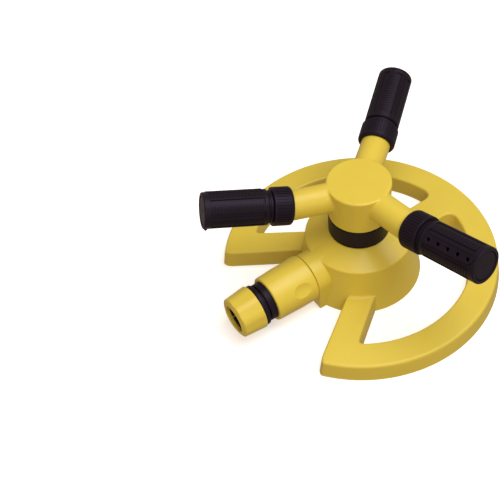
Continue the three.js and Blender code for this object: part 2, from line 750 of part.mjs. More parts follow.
// ---------------------------------------------------------------- hose connector
const CONNECTOR_START = PLUG_FLANGE + 2 + 4.4;
const SOCKET_FLOOR = PLUG_TIP + 2.3;
const SLEEVE_START = SHROUD_FRONT + 0.5;
const SLEEVE_END = SLEEVE_START + SLEEVE_LENGTH;
const BAND_START = SLEEVE_END - 5.3;
const BAND_END = SLEEVE_END + SLEEVE_TRAVEL + 1.2;
const FLANGE_START = BAND_END + 1.5;
const FLANGE_END = FLANGE_START + 3.7;
const NUT_FACE = FLANGE_END + 0.4;
const HOSE_NUT_END = NUT_FACE + HOSE_NUT_LENGTH;
const THREAD_R = SOCKET_R_OUT;
const HOSE_NUT_R = THREAD_R + RUN + HOSE_NUT_WALL;
const THREAD_END = FLANGE_END + 7.5;
const BARB_END = HOSE_NUT_END - 6;
const CLAW_THICK = 1.5;
const CLAW_LOW = LATCH_AT - 1.5;
const CLAW_HIGH = LATCH_AT + 3.7;
const RIB_START = CONNECTOR_START + 2;
const RIB_END = RIB_START + 3.5;

const connectorSeal = () =>
  ring(WATER_R, SOCKET_BORE - RUN, PLUG_TIP + GAP, SOCKET_FLOOR - 2 * GAP);

function connectorBody() {
  const clawSeat = SOCKET_BORE + CLAW_THICK + 2 * GAP;
  const bore = SPIGOT_R - SPIGOT_WALL;
  return turned([
    [SOCKET_BORE, CONNECTOR_START],
    [SOCKET_R_OUT, CONNECTOR_START],
    [SOCKET_R_OUT, BAND_START],
    [BAND_R, BAND_START],
    [BAND_R, BAND_END - 0.8],
    [BAND_R - 0.8, BAND_END],
    [BAND_R - 1.8, BAND_END],
    [BAND_R - 1.8, FLANGE_START],
    [FLANGE_R - 0.8, FLANGE_START],
    [FLANGE_R, FLANGE_START + 0.8],
    [FLANGE_R, FLANGE_END - 0.8],
    [FLANGE_R - 0.8, FLANGE_END],
    [THREAD_R, FLANGE_END],
    [THREAD_R, THREAD_END],
    [BARB_R, THREAD_END],
    [BARB_R, BARB_END - 4],
    [BARB_R + 0.5, BARB_END - 4],
    [BARB_R - 0.6, BARB_END],
    [bore, BARB_END],
    [bore, SOCKET_FLOOR],
    [SOCKET_BORE, SOCKET_FLOOR],
    [SOCKET_BORE, CLAW_HIGH + GAP],
    [clawSeat, CLAW_HIGH + GAP],
    [clawSeat, CLAW_LOW - GAP],
    [SOCKET_BORE, CLAW_LOW - GAP],
  ]);
}

// A split ring whose teeth hold behind the plug's ridge.
function clawRing() {
  const outer = SOCKET_BORE + CLAW_THICK + GAP;
  let claws = turned([
    [SOCKET_BORE, CLAW_LOW],
    [outer, CLAW_LOW],
    [outer, CLAW_HIGH],
    [SOCKET_BORE + 0.9, CLAW_HIGH],
  ]);
  claws = claws.subtract(block(2.2, 4, 12, 0, outer, LATCH_AT));
  for (const turn of [90, 180, 270]) {
    const slit = block(1.2, 4, 8, 0, outer, CLAW_HIGH + 1.6).rotate([0, 0, turn]);
    claws = claws.subtract(slit);
  }
  return claws;
}

function releaseSleeve() {
  const backBore = SPIGOT_R + 3 + 2.5;
  const round = 1.6;
  let sleeve = turned(
    [
      [backBore, SLEEVE_START],
      [SLEEVE_BACK_R - round, SLEEVE_START],
      [SLEEVE_BACK_R - 0.3 * round, SLEEVE_START + 0.3 * round],
      [SLEEVE_BACK_R, SLEEVE_START + round],
      [SLEEVE_BACK_R, SLEEVE_START + 0.45 * SLEEVE_LENGTH],
      [SLEEVE_FRONT_R, SLEEVE_END - round],
      [SLEEVE_FRONT_R - 0.3 * round, SLEEVE_END - 0.3 * round],
      [SLEEVE_FRONT_R - 0.7 * round, SLEEVE_END],
      [SLEEVE_BORE, SLEEVE_END],
      [SLEEVE_BORE, RIB_END],
      [SOCKET_R_OUT + RUN, RIB_END],
      [SOCKET_R_OUT + RUN, RIB_START],
      [backBore, RIB_START],
    ],
    MEDIUM,
  );
  const dimple = new THREE.SphereGeometry(20, MEDIUM, ROUND);
  const middle = SLEEVE_START + 12.2;
  for (const degrees of aroundZ(DIMPLE_COUNT, (turn) => turn - 90)) {
    const { x, y } = onCircle(SLEEVE_BACK_R + 18.7, degrees);
    const at = new THREE.Matrix4().makeTranslation(x, y, middle);
    sleeve = sleeve.subtract(solid(dimple, at));
  }
  return sleeve;
}

function sleeveSpring() {
  const radius = (SOCKET_R_OUT + SLEEVE_BORE) / 2;
  const low = RIB_END + GAP + SPRING_WIRE_R;
  const high = BAND_START - GAP - SPRING_WIRE_R;
  class Helix extends THREE.Curve {
    getPoint(t, target = new THREE.Vector3()) {
      const angle = 2 * Math.PI * SPRING_TURNS * t;
      return target.set(
        radius * Math.cos(angle),
        radius * Math.sin(angle),
        low + (high - low) * t,
      );
    }
  }
  const wire = new THREE.Shape();
  wire.absarc(0, 0, SPRING_WIRE_R, 0, 2 * Math.PI, false);
  const settings = {
    steps: 14 * SPRING_TURNS,
    extrudePath: new Helix(),
    curveSegments: 3,
    bevelEnabled: false,
  };
  return solid(new THREE.ExtrudeGeometry(wire, settings));
}

// Fingers that the hose nut squeezes onto the hose.
function hoseCollet() {
  const low = THREAD_END + 0.6;
  const high = HOSE_NUT_END - 2.8;
  const inner = HOSE_BORE_R - 2.1;
  let collet = turned([
    [inner, low],
    [HOSE_BORE_R + 0.7, low],
    [HOSE_BORE_R + 0.7, low + 2.6],
    [HOSE_BORE_R - 0.6, high],
    [inner, high],
  ]);
  const slit = block(1.1, 6, high - low, 0, HOSE_BORE_R, (low + high) / 2 + 2.4);
  for (const turn of aroundZ(FINGERS, (degrees) => degrees)) {
    collet = collet.subtract(slit.rotate([0, 0, turn]));
  }
  return collet;
}

function hoseNut() {
  const bore = THREAD_R + RUN;
  const flatEnd = NUT_FACE + 0.62 * HOSE_NUT_LENGTH;
  const coneStart = THREAD_END + 3.8;
  const coneEnd = HOSE_NUT_END - 2.6;
  let nut = turned(
    [
      [bore, NUT_FACE],
      [HOSE_NUT_R - 0.8, NUT_FACE],
      [HOSE_NUT_R, NUT_FACE + 0.8],
      [HOSE_NUT_R, flatEnd],
      [HOSE_NUT_R - 1.2, flatEnd + 3],
      [HOSE_NUT_R - 3.4, HOSE_NUT_END - 1.6],
      [HOSE_NUT_R - 4.8, HOSE_NUT_END],
      [HOSE_BORE_R, HOSE_NUT_END],
      [HOSE_BORE_R, coneEnd],
      [bore, coneStart],
    ],
    MEDIUM - 4,
  );
  const flat = block(14, 2, 18, 0, HOSE_NUT_R + 0.35, NUT_FACE + 12);
  const leaned = flat.translate(0, 0, -NUT_FACE).rotate([3, 0, 0]).translate(0, 0, NUT_FACE);
  for (const turn of aroundZ(HOSE_NUT_FLATS, (degrees) => degrees)) {
    nut = nut.subtract(leaned.rotate([0, 0, turn]));
  }
  return nut;
}

// ---------------------------------------------------------------- assembly
const sprinkler = new THREE.Group();

function put(name, shape, material, parent = sprinkler) {
  const mesh = new THREE.Mesh(toGeometry(shape), material());
  mesh.name = name;
  parent.add(mesh);
  return mesh;
}

put('base_shell', baseShell(), yellow);
put('bottom_cover', bottomCover(), black);
bossPlaces.forEach(({ x, y }, k) => {
  put(`cover_screw_${k + 1}`, screw(SCREW_LENGTH), steel).position.set(x, y, HEAD_DEPTH - GAP);
});
put('water_elbow', waterElbow(), black);
boltPlaces.forEach(({ x, y }, k) => {
  const under = DECK_UNDER - GAP - 3 - GAP;
  put(`elbow_screw_${k + 1}`, screw(SCREW_LENGTH + 3), steel).position.set(x, y, under);
});
put('bearing_collar', bearingCollar(), black);
put('bearing_bush', bearingBush(), natural);
put('shaft_seal', shaftSeal(), rubber);
put('thrust_washer', thrustWasher(), natural);

put('rotor_hub', rotorHub(), yellow);
put('rotor_floor', rotorFloor(), yellow);
put('spindle', spindle(), brass);
put('spindle_nut', spindleNut(), brass);

for (let k = 0; k < ARM_COUNT; k += 1) {
  const arm = new THREE.Group();
  armFrame(k).decompose(arm.position, arm.quaternion, arm.scale);
  sprinkler.add(arm);
  put(`arm_seal_${k + 1}`, armSeal(), rubber, arm);
  put(`collar_nut_${k + 1}`, collarNut(), black, arm);
  const head = new THREE.Group();
  head.rotation.z = radians(HEAD_TWIST[k]);
  arm.add(head);
  put(`nozzle_barrel_${k + 1}`, nozzleBarrel(), black, head);
  put(`jet_strip_${k + 1}`, jetStrip(), black, head);
  put(`end_cap_${k + 1}`, endCap(), black, head);
}

const inlet = new THREE.Group();
INLET_FRAME.decompose(inlet.position, inlet.quaternion, inlet.scale);
sprinkler.add(inlet);
put('inlet_plug', inletPlug(), black, inlet);
put('plug_o_ring', plugORing(), rubber, inlet);
put('inlet_gasket', inletGasket(), rubber, inlet);
put('connector_seal', connectorSeal(), rubber, inlet);
put('connector_body', connectorBody(), black, inlet);
put('claw_ring', clawRing(), natural, inlet);
put('release_sleeve', releaseSleeve(), yellow, inlet);
put('sleeve_spring', sleeveSpring(), steel, inlet);
put('hose_collet', hoseCollet(), black, inlet);
put('hose_nut', hoseNut(), yellow, inlet);

export default sprinkler;
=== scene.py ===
# %% [markdown]
# # A rotary lawn sprinkler
# Water comes in through the hose connector, goes up through the hub and out of three arms, and the
# jets push the arms round. Almost every part of it is moulded plastic, so this lesson is about
# three things: turning a profile, cutting with shaped tools, and making plastic look like plastic.

# %% The fixed frame
import json
import math

import bmesh
import bpy
from mathutils import Matrix, Vector


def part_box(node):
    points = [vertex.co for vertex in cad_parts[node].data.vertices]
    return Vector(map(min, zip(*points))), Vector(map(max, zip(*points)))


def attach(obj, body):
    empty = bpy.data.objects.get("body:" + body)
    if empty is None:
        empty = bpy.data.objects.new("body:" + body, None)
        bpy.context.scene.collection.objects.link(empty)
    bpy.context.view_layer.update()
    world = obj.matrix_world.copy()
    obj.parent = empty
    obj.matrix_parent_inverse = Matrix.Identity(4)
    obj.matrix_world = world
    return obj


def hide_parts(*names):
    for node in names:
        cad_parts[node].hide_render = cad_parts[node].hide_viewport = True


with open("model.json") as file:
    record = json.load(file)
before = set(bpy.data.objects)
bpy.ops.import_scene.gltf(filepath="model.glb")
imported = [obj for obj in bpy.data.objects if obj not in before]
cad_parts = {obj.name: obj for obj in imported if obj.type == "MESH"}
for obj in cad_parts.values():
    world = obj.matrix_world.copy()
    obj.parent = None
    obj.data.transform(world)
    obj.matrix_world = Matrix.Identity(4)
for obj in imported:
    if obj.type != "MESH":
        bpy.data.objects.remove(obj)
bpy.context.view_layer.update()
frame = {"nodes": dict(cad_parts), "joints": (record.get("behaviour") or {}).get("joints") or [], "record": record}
MM = 0.001
TURN = math.tau

# %% [markdown]
# ## Measures taken from the frame
# The frame already holds every size, so the pieces made here read theirs from it. A hinge knows
# where an arm starts and where it points, and a node's box tells how wide and how tall it is.

# %% Measures
def width_of(node, axis):
    """Size of a node along one axis, in millimetres."""
    low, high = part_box(node)
    return (high[axis] - low[axis]) / MM


def joint(name):
    return next(j for j in frame["joints"] if j["name"] == name)


X, Y, Z = range(3)
ARMS = (1, 2, 3)
base_low, base_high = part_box("base_shell")
FOOT_R = width_of("base_shell", X) / 2
HUB_H = base_high.z / MM
collar_low, collar_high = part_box("bearing_collar")
COLLAR_R = width_of("bearing_collar", X) / 2
ROTOR_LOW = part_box("rotor_hub")[0].z / MM
ROTOR_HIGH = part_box("rotor_floor")[0].z / MM + 30.4
INLET_Z = (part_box("inlet_plug")[0].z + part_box("inlet_plug")[1].z) / 2 / MM
sleeve_low, sleeve_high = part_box("release_sleeve")
SLEEVE_START, SLEEVE_END = -sleeve_high.y / MM, -sleeve_low.y / MM
SHROUD_FRONT = SLEEVE_START - 0.5
nut_low, nut_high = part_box("hose_nut")
NUT_START, NUT_END = -nut_high.y / MM, -nut_low.y / MM
print("foot radius", round(FOOT_R, 1), "hub height", round(HUB_H, 1), "inlet at", round(INLET_Z, 1))

# %% [markdown]
# ## Small tools for a hand
# An operator acts on all that is selected, so each step first says what is meant. `pick` chooses
# faces, edges or corners by where they are, in place of clicking on them.

# %% Selecting
def only(piece):
    """Selects one object and makes it the active one."""
    bpy.ops.object.select_all(action="DESELECT")
    piece.select_set(True)
    bpy.context.view_layer.objects.active = piece


def edit(piece, kind="FACE"):
    only(piece)
    bpy.ops.object.mode_set(mode="EDIT")
    bpy.ops.mesh.select_mode(type=kind)


def leave():
    bpy.ops.object.mode_set(mode="OBJECT")


def pick(piece, test, kind="FACE"):
    """In edit mode: selects what `test(middle, normal)` says yes to. Returns how many."""
    bpy.ops.mesh.select_mode(type=kind)
    bpy.ops.mesh.select_all(action="DESELECT")
    shape = bmesh.from_edit_mesh(piece.data)
    parts = {"FACE": shape.faces, "EDGE": shape.edges, "VERT": shape.verts}[kind]
    count = 0
    for part in parts:
        if kind == "FACE":
            middle, normal = part.calc_center_median(), part.normal
        elif kind == "EDGE":
            middle = (part.verts[0].co + part.verts[1].co) / 2
            normal = part.verts[1].co - part.verts[0].co
        else:
            middle, normal = part.co, part.normal
        if test(middle / MM, normal):
            part.select_set(True)
            count += 1
    shape.select_flush_mode()
    bmesh.update_edit_mesh(piece.data)
    return count


def apply_modifier(piece, kind, **settings):
    only(piece)
    modifier = piece.modifiers.new(kind.title(), kind)
    for name, value in settings.items():
        setattr(modifier, name, value)
    bpy.ops.object.modifier_apply(modifier=modifier.name)
    return piece


def combine(piece, tool, how="DIFFERENCE", keep=False):
    """Cuts, joins or intersects two closed shapes, and removes the tool."""
    apply_modifier(piece, "BOOLEAN", object=tool, operation=how, solver="MANIFOLD")
    if not keep:
        bpy.data.objects.remove(tool, do_unlink=True)
    return piece


def copy_of(piece, name):
    twin = piece.copy()
    twin.data = piece.data.copy()
    twin.name = name
    bpy.context.scene.collection.objects.link(twin)
    return twin


def settle(piece, matrix):
    """Puts a piece in its place and moves that place into its mesh."""
    only(piece)
    piece.matrix_world = matrix
    bpy.ops.object.transform_apply(location=True, rotation=True, scale=True)
    return piece


def turned_matrix(degrees):
    return Matrix.Rotation(math.radians(degrees), 4, "Z")


# %% [markdown]
# ## Turning a profile
# A lathe makes round pieces from a side view, and so does the Spin operator. The outline is drawn
# the way one does it by hand: one corner is left of a small plane, and it is extruded from point to
# point. Round corners are quarter circles worked out by a formula, so they stay true at any size.

# %% Turning
def corner(r, z, radius, start, steps=5, sweep=90):
    """Points on an arc about (r, z). 0 degrees points outward and 90 points up the axis."""
    angles = (math.radians(start + sweep * k / steps) for k in range(steps + 1))
    return [(r + radius * math.cos(a), z + radius * math.sin(a)) for a in angles]


def draw(name, points):
    """Draws an open chain of corners, in millimetres, by extruding one of them."""
    bpy.ops.object.select_all(action="DESELECT")
    bpy.ops.mesh.primitive_plane_add(size=MM)
    piece = bpy.context.object
    piece.name = name
    edit(piece, "VERT")
    bpy.ops.mesh.select_all(action="SELECT")
    bpy.ops.mesh.merge(type="CENTER")
    bpy.ops.transform.translate(value=Vector(points[0]) * MM)
    for before, after in zip(points, points[1:]):
        step = (Vector(after) - Vector(before)) * MM
        bpy.ops.mesh.extrude_vertices_move(TRANSFORM_OT_translate={"value": step})
    return piece


def clean(piece):
    """Merges doubles and turns every face outward."""
    bpy.ops.mesh.select_all(action="SELECT")
    bpy.ops.mesh.remove_doubles(threshold=2e-6)
    bpy.ops.mesh.dissolve_degenerate(threshold=1e-6)
    bpy.ops.mesh.select_all(action="SELECT")
    bpy.ops.mesh.normals_make_consistent(inside=False)


def turn(name, outline, steps=96):
    """Turns a closed outline of (radius, height) once round Z."""
    points = [(r, 0, z) for r, z in outline]
    if outline[0][0] > 0 or outline[-1][0] > 0:
        points.append(points[0])
    piece = draw(name, points)
    bpy.ops.mesh.select_all(action="SELECT")
    bpy.ops.mesh.spin(steps=steps, angle=TURN, center=(0, 0, 0), axis=(0, 0, 1))
    clean(piece)
    leave()
    return piece


def rod(name, radius, low, high, at=(0, 0), steps=48):
    bpy.ops.object.select_all(action="DESELECT")
    bpy.ops.mesh.primitive_cylinder_add(
        vertices=steps,
        radius=radius * MM,
        depth=(high - low) * MM,
        location=(at[0] * MM, at[1] * MM, (low + high) / 2 * MM),
    )
    piece = bpy.context.object
    piece.name = name
    only(piece)
    bpy.ops.object.transform_apply(location=True, rotation=True, scale=True)
    return piece


def block(name, size, at):
    bpy.ops.object.select_all(action="DESELECT")
    bpy.ops.mesh.primitive_cube_add(size=1, location=Vector(at) * MM)
    piece = bpy.context.object
    piece.name = name
    piece.scale = Vector(size) * MM
    only(piece)
    bpy.ops.object.transform_apply(location=True, rotation=True, scale=True)
    return piece


def soften(piece, degrees=32):
    """Smooth shading that keeps real edges, with normals led by the large faces."""
    only(piece)
    bpy.ops.object.shade_smooth_by_angle(angle=math.radians(degrees))
    apply_modifier(piece, "WEIGHTED_NORMAL", keep_sharp=True, weight=60)
    return piece


# %% [markdown]
# ## Writing shader maths
# A material's pattern is a small sum. This class wraps a socket, so that `1 - mask * 0.3` adds the
# Math nodes for it. Any other node comes from `add`, which takes the node's own settings first.

# %% A material helper
class Value:
    """A socket that can be added, multiplied and so on."""

    def __init__(self, paint, socket):
        self.paint, self.socket = paint, socket

    def math(self, how, *others, swap=False):
        values = [self, *others]
        if swap:
            values.reverse()
        return self.paint.add("ShaderNodeMath", {"operation": how}, dict(enumerate(values)))

    def __add__(self, other):
        return self.math("ADD", other)

    def __sub__(self, other):
        return self.math("SUBTRACT", other)

    def __mul__(self, other):
        return self.math("MULTIPLY", other)

    def __rsub__(self, other):
        return self.math("SUBTRACT", other, swap=True)

    def __pow__(self, other):
        return self.math("POWER", other)

    __radd__ = __add__
    __rmul__ = __mul__


class Paint:
    """One material, built node by node."""

    def __init__(self, name):
        self.material = bpy.data.materials.new(name)
        self.material.use_nodes = True
        self.tree = self.material.node_tree
        self.shader = self.tree.nodes["Principled BSDF"]
        self.place = self.add("ShaderNodeTexCoord", output="Object")

    def add(self, kind, settings=None, inputs=None, output=0):
        node = self.tree.nodes.new(kind)
        for name, value in (settings or {}).items():
            if name == "stops":
                self.stops(node.color_ramp, value)
            else:
                setattr(node, name, value)
        for name, value in (inputs or {}).items():
            self.feed(node.inputs[name], value)
        return Value(self, node.outputs[output])

    def stops(self, ramp, stops):
        while len(ramp.elements) < len(stops):
            ramp.elements.new(0.5)
        for element, (position, colour) in zip(ramp.elements, stops):
            element.position = position
            element.color = (*colour, 1) if isinstance(colour, tuple) else (colour,) * 3 + (1,)

    def feed(self, socket, value):
        if isinstance(value, Value):
            self.tree.links.new(value.socket, socket)
        elif isinstance(value, tuple) and len(value) == 3 and len(socket.default_value) == 4:
            socket.default_value = (*value, 1)
        else:
            socket.default_value = value

    def noise(self, scale, detail=2.0, rough=0.5, stretch=None):
        place = self.place
        if stretch:
            place = self.add("ShaderNodeMapping", None, {"Vector": place, "Scale": stretch})
        inputs = {"Vector": place, "Scale": scale, "Detail": detail, "Roughness": rough}
        return self.add("ShaderNodeTexNoise", None, inputs)

    def ramp(self, factor, *stops):
        return self.add("ShaderNodeValToRGB", {"stops": stops}, {"Fac": factor})

    def blend(self, factor, first, second):
        inputs = {"Factor": factor, 6: first, 7: second}
        return self.add("ShaderNodeMix", {"data_type": "RGBA"}, inputs, output=2)

    def bump(self, height, strength, distance):
        inputs = {"Height": height, "Strength": strength, "Distance": distance}
        return self.add("ShaderNodeBump", None, inputs)

    def finish(self, **sockets):
        for name, value in sockets.items():
            self.feed(self.shader.inputs[name.replace("_", " ").title().replace("Ior", "IOR")], value)
        return self.material


# %% [markdown]
# ## Yellow plastic
# Moulded ABS is coloured right through and copies the polish of its mould. Light goes a little way
# into it, which warms the shaded sides, and the surface carries faint flow marks, fine grain and a
# few rubbed spots, far too small to see as shapes but enough to break up a reflection.

# %% Yellow plastic
def yellow_plastic():
    paint = Paint("yellow_plastic")
    cloud = paint.noise(16.0, detail=3)
    grain = paint.noise(1400.0, detail=2)
    flow = paint.noise(60.0, detail=4, stretch=(1.0, 1.0, 0.35))
    tone = paint.ramp(cloud, (0.35, (0.685, 0.535, 0.058)), (0.65, (0.725, 0.575, 0.070)))
    rough = flow * 0.10 + grain * 0.05 + 0.30
    height = grain * 0.35 + flow * 0.65
    return paint.finish(
        base_color=tone,
        roughness=rough,
        normal=paint.bump(height, 0.05, 0.0004),
        specular_ior_level=0.38,
        subsurface_weight=0.12,
        subsurface_radius=(0.006, 0.0025, 0.0004),
        subsurface_scale=1.0,
        coat_weight=0.06,
        coat_roughness=0.2,
    )


# %% [markdown]
# ## Black plastic
# The nozzles and the connector's body are a harder, glass-filled plastic. It is satin rather than
# glossy, with a cool sheen along its ridges, and soft patches of dust make it a little lighter and duller.

# %% Black plastic
def black_plastic():
    paint = Paint("black_plastic")
    cloud = paint.noise(30.0, detail=3)
    grain = paint.noise(1800.0, detail=3)
    tone = paint.ramp(cloud, (0.3, (0.0105, 0.0072, 0.0115)), (0.7, (0.015, 0.0105, 0.0165)))
    rough = cloud * 0.12 + grain * 0.08 + 0.30
    return paint.finish(
        base_color=tone,
        roughness=rough,
        normal=paint.bump(grain, 0.12, 0.0003),
        specular_ior_level=0.14,
        specular_tint=(0.78, 0.70, 1.0, 1.0),
    )


# %% [markdown]
# ## Hidden materials
# Seals, bushes, screws and the spring only show when the connector is pulled off or the object is
# turned over, but each still gets its own finish: dull rubber, waxy natural plastic, drawn steel
# with fine lines round it, and turned brass.

# %% Rubber, natural plastic and metals
def seal_rubber():
    paint = Paint("seal_rubber")
    dust = paint.noise(220.0, detail=4)
    tone = paint.ramp(dust, (0.4, (0.012, 0.012, 0.013)), (0.75, (0.040, 0.039, 0.038)))
    return paint.finish(
        base_color=tone, roughness=dust * 0.2 + 0.6, normal=paint.bump(dust, 0.15, 0.0002)
    )


def natural_plastic():
    paint = Paint("natural_plastic")
    cloud = paint.noise(40.0)
    tone = paint.ramp(cloud, (0.3, (0.66, 0.63, 0.54)), (0.7, (0.73, 0.71, 0.64)))
    return paint.finish(
        base_color=tone,
        roughness=cloud * 0.1 + 0.38,
        subsurface_weight=0.2,
        subsurface_radius=(0.004, 0.004, 0.003),
        subsurface_scale=1.0,
    )


def metal(name, dark, light):
    paint = Paint(name)
    lines = paint.noise(900.0, detail=2, stretch=(0.15, 0.15, 1.0))
    tone = paint.ramp(lines, (0.3, dark), (0.7, light))
    return paint.finish(
        base_color=tone,
        metallic=1.0,
        roughness=lines * 0.15 + 0.18,
        normal=paint.bump(lines, 0.08, 0.0001),
    )


MATERIALS = {
    "yellow_plastic": yellow_plastic(),
    "black_plastic": black_plastic(),
    "seal_rubber": seal_rubber(),
    "natural_plastic": natural_plastic(),
    "steel": metal("steel", (0.42, 0.43, 0.45), (0.62, 0.63, 0.65)),
    "brass": metal("brass", (0.60, 0.42, 0.14), (0.80, 0.60, 0.25)),
}
for part in frame["record"]["subparts"]:
    node = frame["nodes"][part["node"]]
    node.data.materials.clear()
    node.data.materials.append(MATERIALS[part["material_slot"]])
print(len(MATERIALS), "materials on", len(frame["nodes"]), "nodes")


# %% Handing a piece over
def body_of(node):
    bodies = frame["record"]["behaviour"]["bodies"]
    return next(name for name, nodes in bodies.items() if node in nodes)


def hand_over(piece, node):
    """The last step for each piece: its finish, the body it rides on and the node it stands for."""
    part = next(p for p in frame["record"]["subparts"] if p["node"] == node)
    finish = part["material_slot"]
    piece.data.materials.clear()
    piece.data.materials.append(MATERIALS[finish])
    low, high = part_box(node)
    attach(piece, body_of(node))
    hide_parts(node)
    piece.data.calc_loop_triangles()
    spots = [v.co for v in piece.data.vertices]
    off = 0.0
    for axis in range(3):
        off = max(off, low[axis] - min(c[axis] for c in spots))
        off = max(off, max(c[axis] for c in spots) - high[axis])
    print(f"{piece.name}: {len(piece.data.loop_triangles)} triangles, {off / MM:.2f} mm past its node")
    return piece


# %% [markdown]
# ## The base moulding
# The base is one thin-walled moulding: a broad open ring, three spokes, a hub and an arched shroud.
# It could be built face by face, but it is easier to think like a router. The disc and the hub are
# turned, and each opening is milled with a bit whose flank leans by the draft angle and whose top
# flares out, which leaves a rounded edge all the way round.

# %% Base: sizes
BASE_R = FOOT_R - 2
RING_W = 20.3
RING_H = 14.2
WALL = 2.4
HUB_WAIST_R = 43.9
HUB_FOOT_R = 47.6
HUB_TOP_R = 40.6
HUB_ROUND = 1.3
DECK_FLAT_R = COLLAR_R + 1.5
DECK_DROP = 6.1
EDGE_ROUND = 1.7
DRAFT = 1.5
BACK_SPOKE_W = 23
NOTCH_EDGE = (28.2, -33.0, 34.2)
WINDOW_EDGE = (42.6, -19.0, 35.5)
BACK_CORNER = 9.0
FRONT_CORNER = 5.0
HUB_CORNER = 4.5
TIP_CORNER = 9.0


# %% [markdown]
# An outline in plan is a chain of straight lines and arcs. Only its corner points are worked out
# here. Each corner is then rounded with a short curve that touches both of its sides.

# %% Base: outlines in plan
def on_circle(radius, degrees):
    a = math.radians(degrees)
    return Vector((radius * math.cos(a), radius * math.sin(a)))


def degrees_of(point):
    return math.degrees(math.atan2(point.y, point.x))


def edge_meets(edge, inset, radius):
    """Where a straight spoke edge, moved sideways by `inset`, meets a circle round the hub."""
    x, y, lean = edge
    along = Vector((math.sin(math.radians(lean)), -math.cos(math.radians(lean))))
    start = Vector((x - inset * along.y, y + inset * along.x))
    half = start.dot(along)
    reach = -half + math.sqrt(half**2 - start.length_squared + radius**2)
    return start + along * reach


def curve(start, control, end, steps=8):
    """A quadratic curve, without its first point."""
    points = []
    for k in range(1, steps + 1):
        t = k / steps
        points.append(start * (1 - t) ** 2 + control * 2 * t * (1 - t) + end * t**2)
    return points


def arc(radius, start, end, spacing=1.5):
    steps = max(2, round(math.radians(abs(end - start)) * radius / spacing))
    return [on_circle(radius, start + (end - start) * k / steps) for k in range(1, steps + 1)]


def window_outline(wide):
    """The opening between two spokes on the +X side, moved outward by `wide`."""
    inner = HUB_WAIST_R - wide
    outer = BASE_R - RING_W + wide
    side = BACK_SPOKE_W / 2 - wide
    front, back, small = FRONT_CORNER + wide, BACK_CORNER + wide, HUB_CORNER + wide
    front_in = edge_meets(WINDOW_EDGE, -wide, inner)
    front_out = edge_meets(WINDOW_EDGE, -wide, outer)
    back_in = Vector((side, math.sqrt(inner**2 - side**2)))
    back_out = Vector((side, math.sqrt(outer**2 - side**2)))
    along = (front_out - front_in).normalized()
    angle = lambda size, radius: math.degrees(size / radius)
    a, b = degrees_of(front_out) + angle(front, outer), degrees_of(back_out) - angle(back, outer)
    c, d = degrees_of(back_in) - angle(small, inner), degrees_of(front_in) + angle(small, inner)
    start = front_in + along * small
    before = front_out - along * front
    points = [start, before]
    points += curve(before, front_out, on_circle(outer, a))
    points += arc(outer, a, b)
    points += curve(points[-1], back_out, back_out - Vector((0, back)))
    points.append(back_in + Vector((0, small)))
    points += curve(points[-1], back_in, on_circle(inner, c))
    points += arc(inner, c, d)
    points += curve(points[-1], front_in, start)[:-1]
    return points


def notch_outline(wide):
    """The notch for the connector, open to the outside, moved outward by `wide`."""
    rim = FOOT_R - wide
    root = edge_meets(NOTCH_EDGE, wide, HUB_WAIST_R - WALL)
    tip = edge_meets(NOTCH_EDGE, wide, rim)
    along = (tip - root).normalized()
    turn_by = math.degrees(TIP_CORNER / rim)
    before, after = tip - along * TIP_CORNER, on_circle(rim, degrees_of(tip) + turn_by)
    half = [root, before, *curve(before, tip, after), on_circle(FOOT_R + 12, degrees_of(after))]
    half.append(Vector((half[-1].x, -1.5 * FOOT_R)))
    mirrored = [Vector((-p.x, p.y)) for p in reversed(half)]
    return half + mirrored


# %% [markdown]
# The milling bit: the outline is drawn at its widest, filled, and then inset step by step as it
# goes down. A quarter circle of insets makes the rounded edge, and one long inset makes the draft.

# %% Base: milling bits
def bit(name, outline, top, floor, lean, rounding=EDGE_ROUND, steps=5):
    """A closed tool from above `top` down to `floor`. `outline` is a function of its offset."""
    levels = [(top + 2, rounding), (top + 0.02, rounding)]
    for k in range(1, steps + 1):
        a = math.radians(90 * k / steps)
        levels.append((top + 0.02 - rounding * (1 - math.cos(a)), rounding * (1 - math.sin(a))))
    levels.append((floor, -lean))
    rings = [[(p.x, p.y, z) for p in outline(offset)] for z, offset in levels]
    pieces = []
    for points in rings:
        ring = draw(name, [*points, points[0]])
        bpy.ops.mesh.select_all(action="SELECT")
        bpy.ops.mesh.remove_doubles(threshold=1e-6)
        leave()
        pieces.append(ring)
    bpy.ops.object.select_all(action="DESELECT")
    for ring in pieces:
        ring.select_set(True)
    bpy.context.view_layer.objects.active = pieces[0]
    bpy.ops.object.join()
    tool = bpy.context.object
    edit(tool, "EDGE")
    heights = [z for z, _ in levels]
    for above, below in zip(heights, heights[1:]):
        pick(tool, lambda m, n: abs(m.z - above) < 0.004 or abs(m.z - below) < 0.004, "EDGE")
        bpy.ops.mesh.bridge_edge_loops()
    for height in (heights[0], heights[-1]):
        pick(tool, lambda m, n: abs(m.z - height) < 0.004 and abs(n.z) < 1e-7, "EDGE")
        bpy.ops.mesh.edge_face_add()
    clean(tool)
    leave()
    return tool


# %% Base: the other side
def mirrored(piece, name):
    twin = copy_of(piece, name)
    edit(twin)
    bpy.ops.mesh.select_all(action="SELECT")
    bpy.ops.transform.resize(value=(-1, 1, 1), center_override=(0, 0, 0))
    clean(twin)
    leave()
    return twin


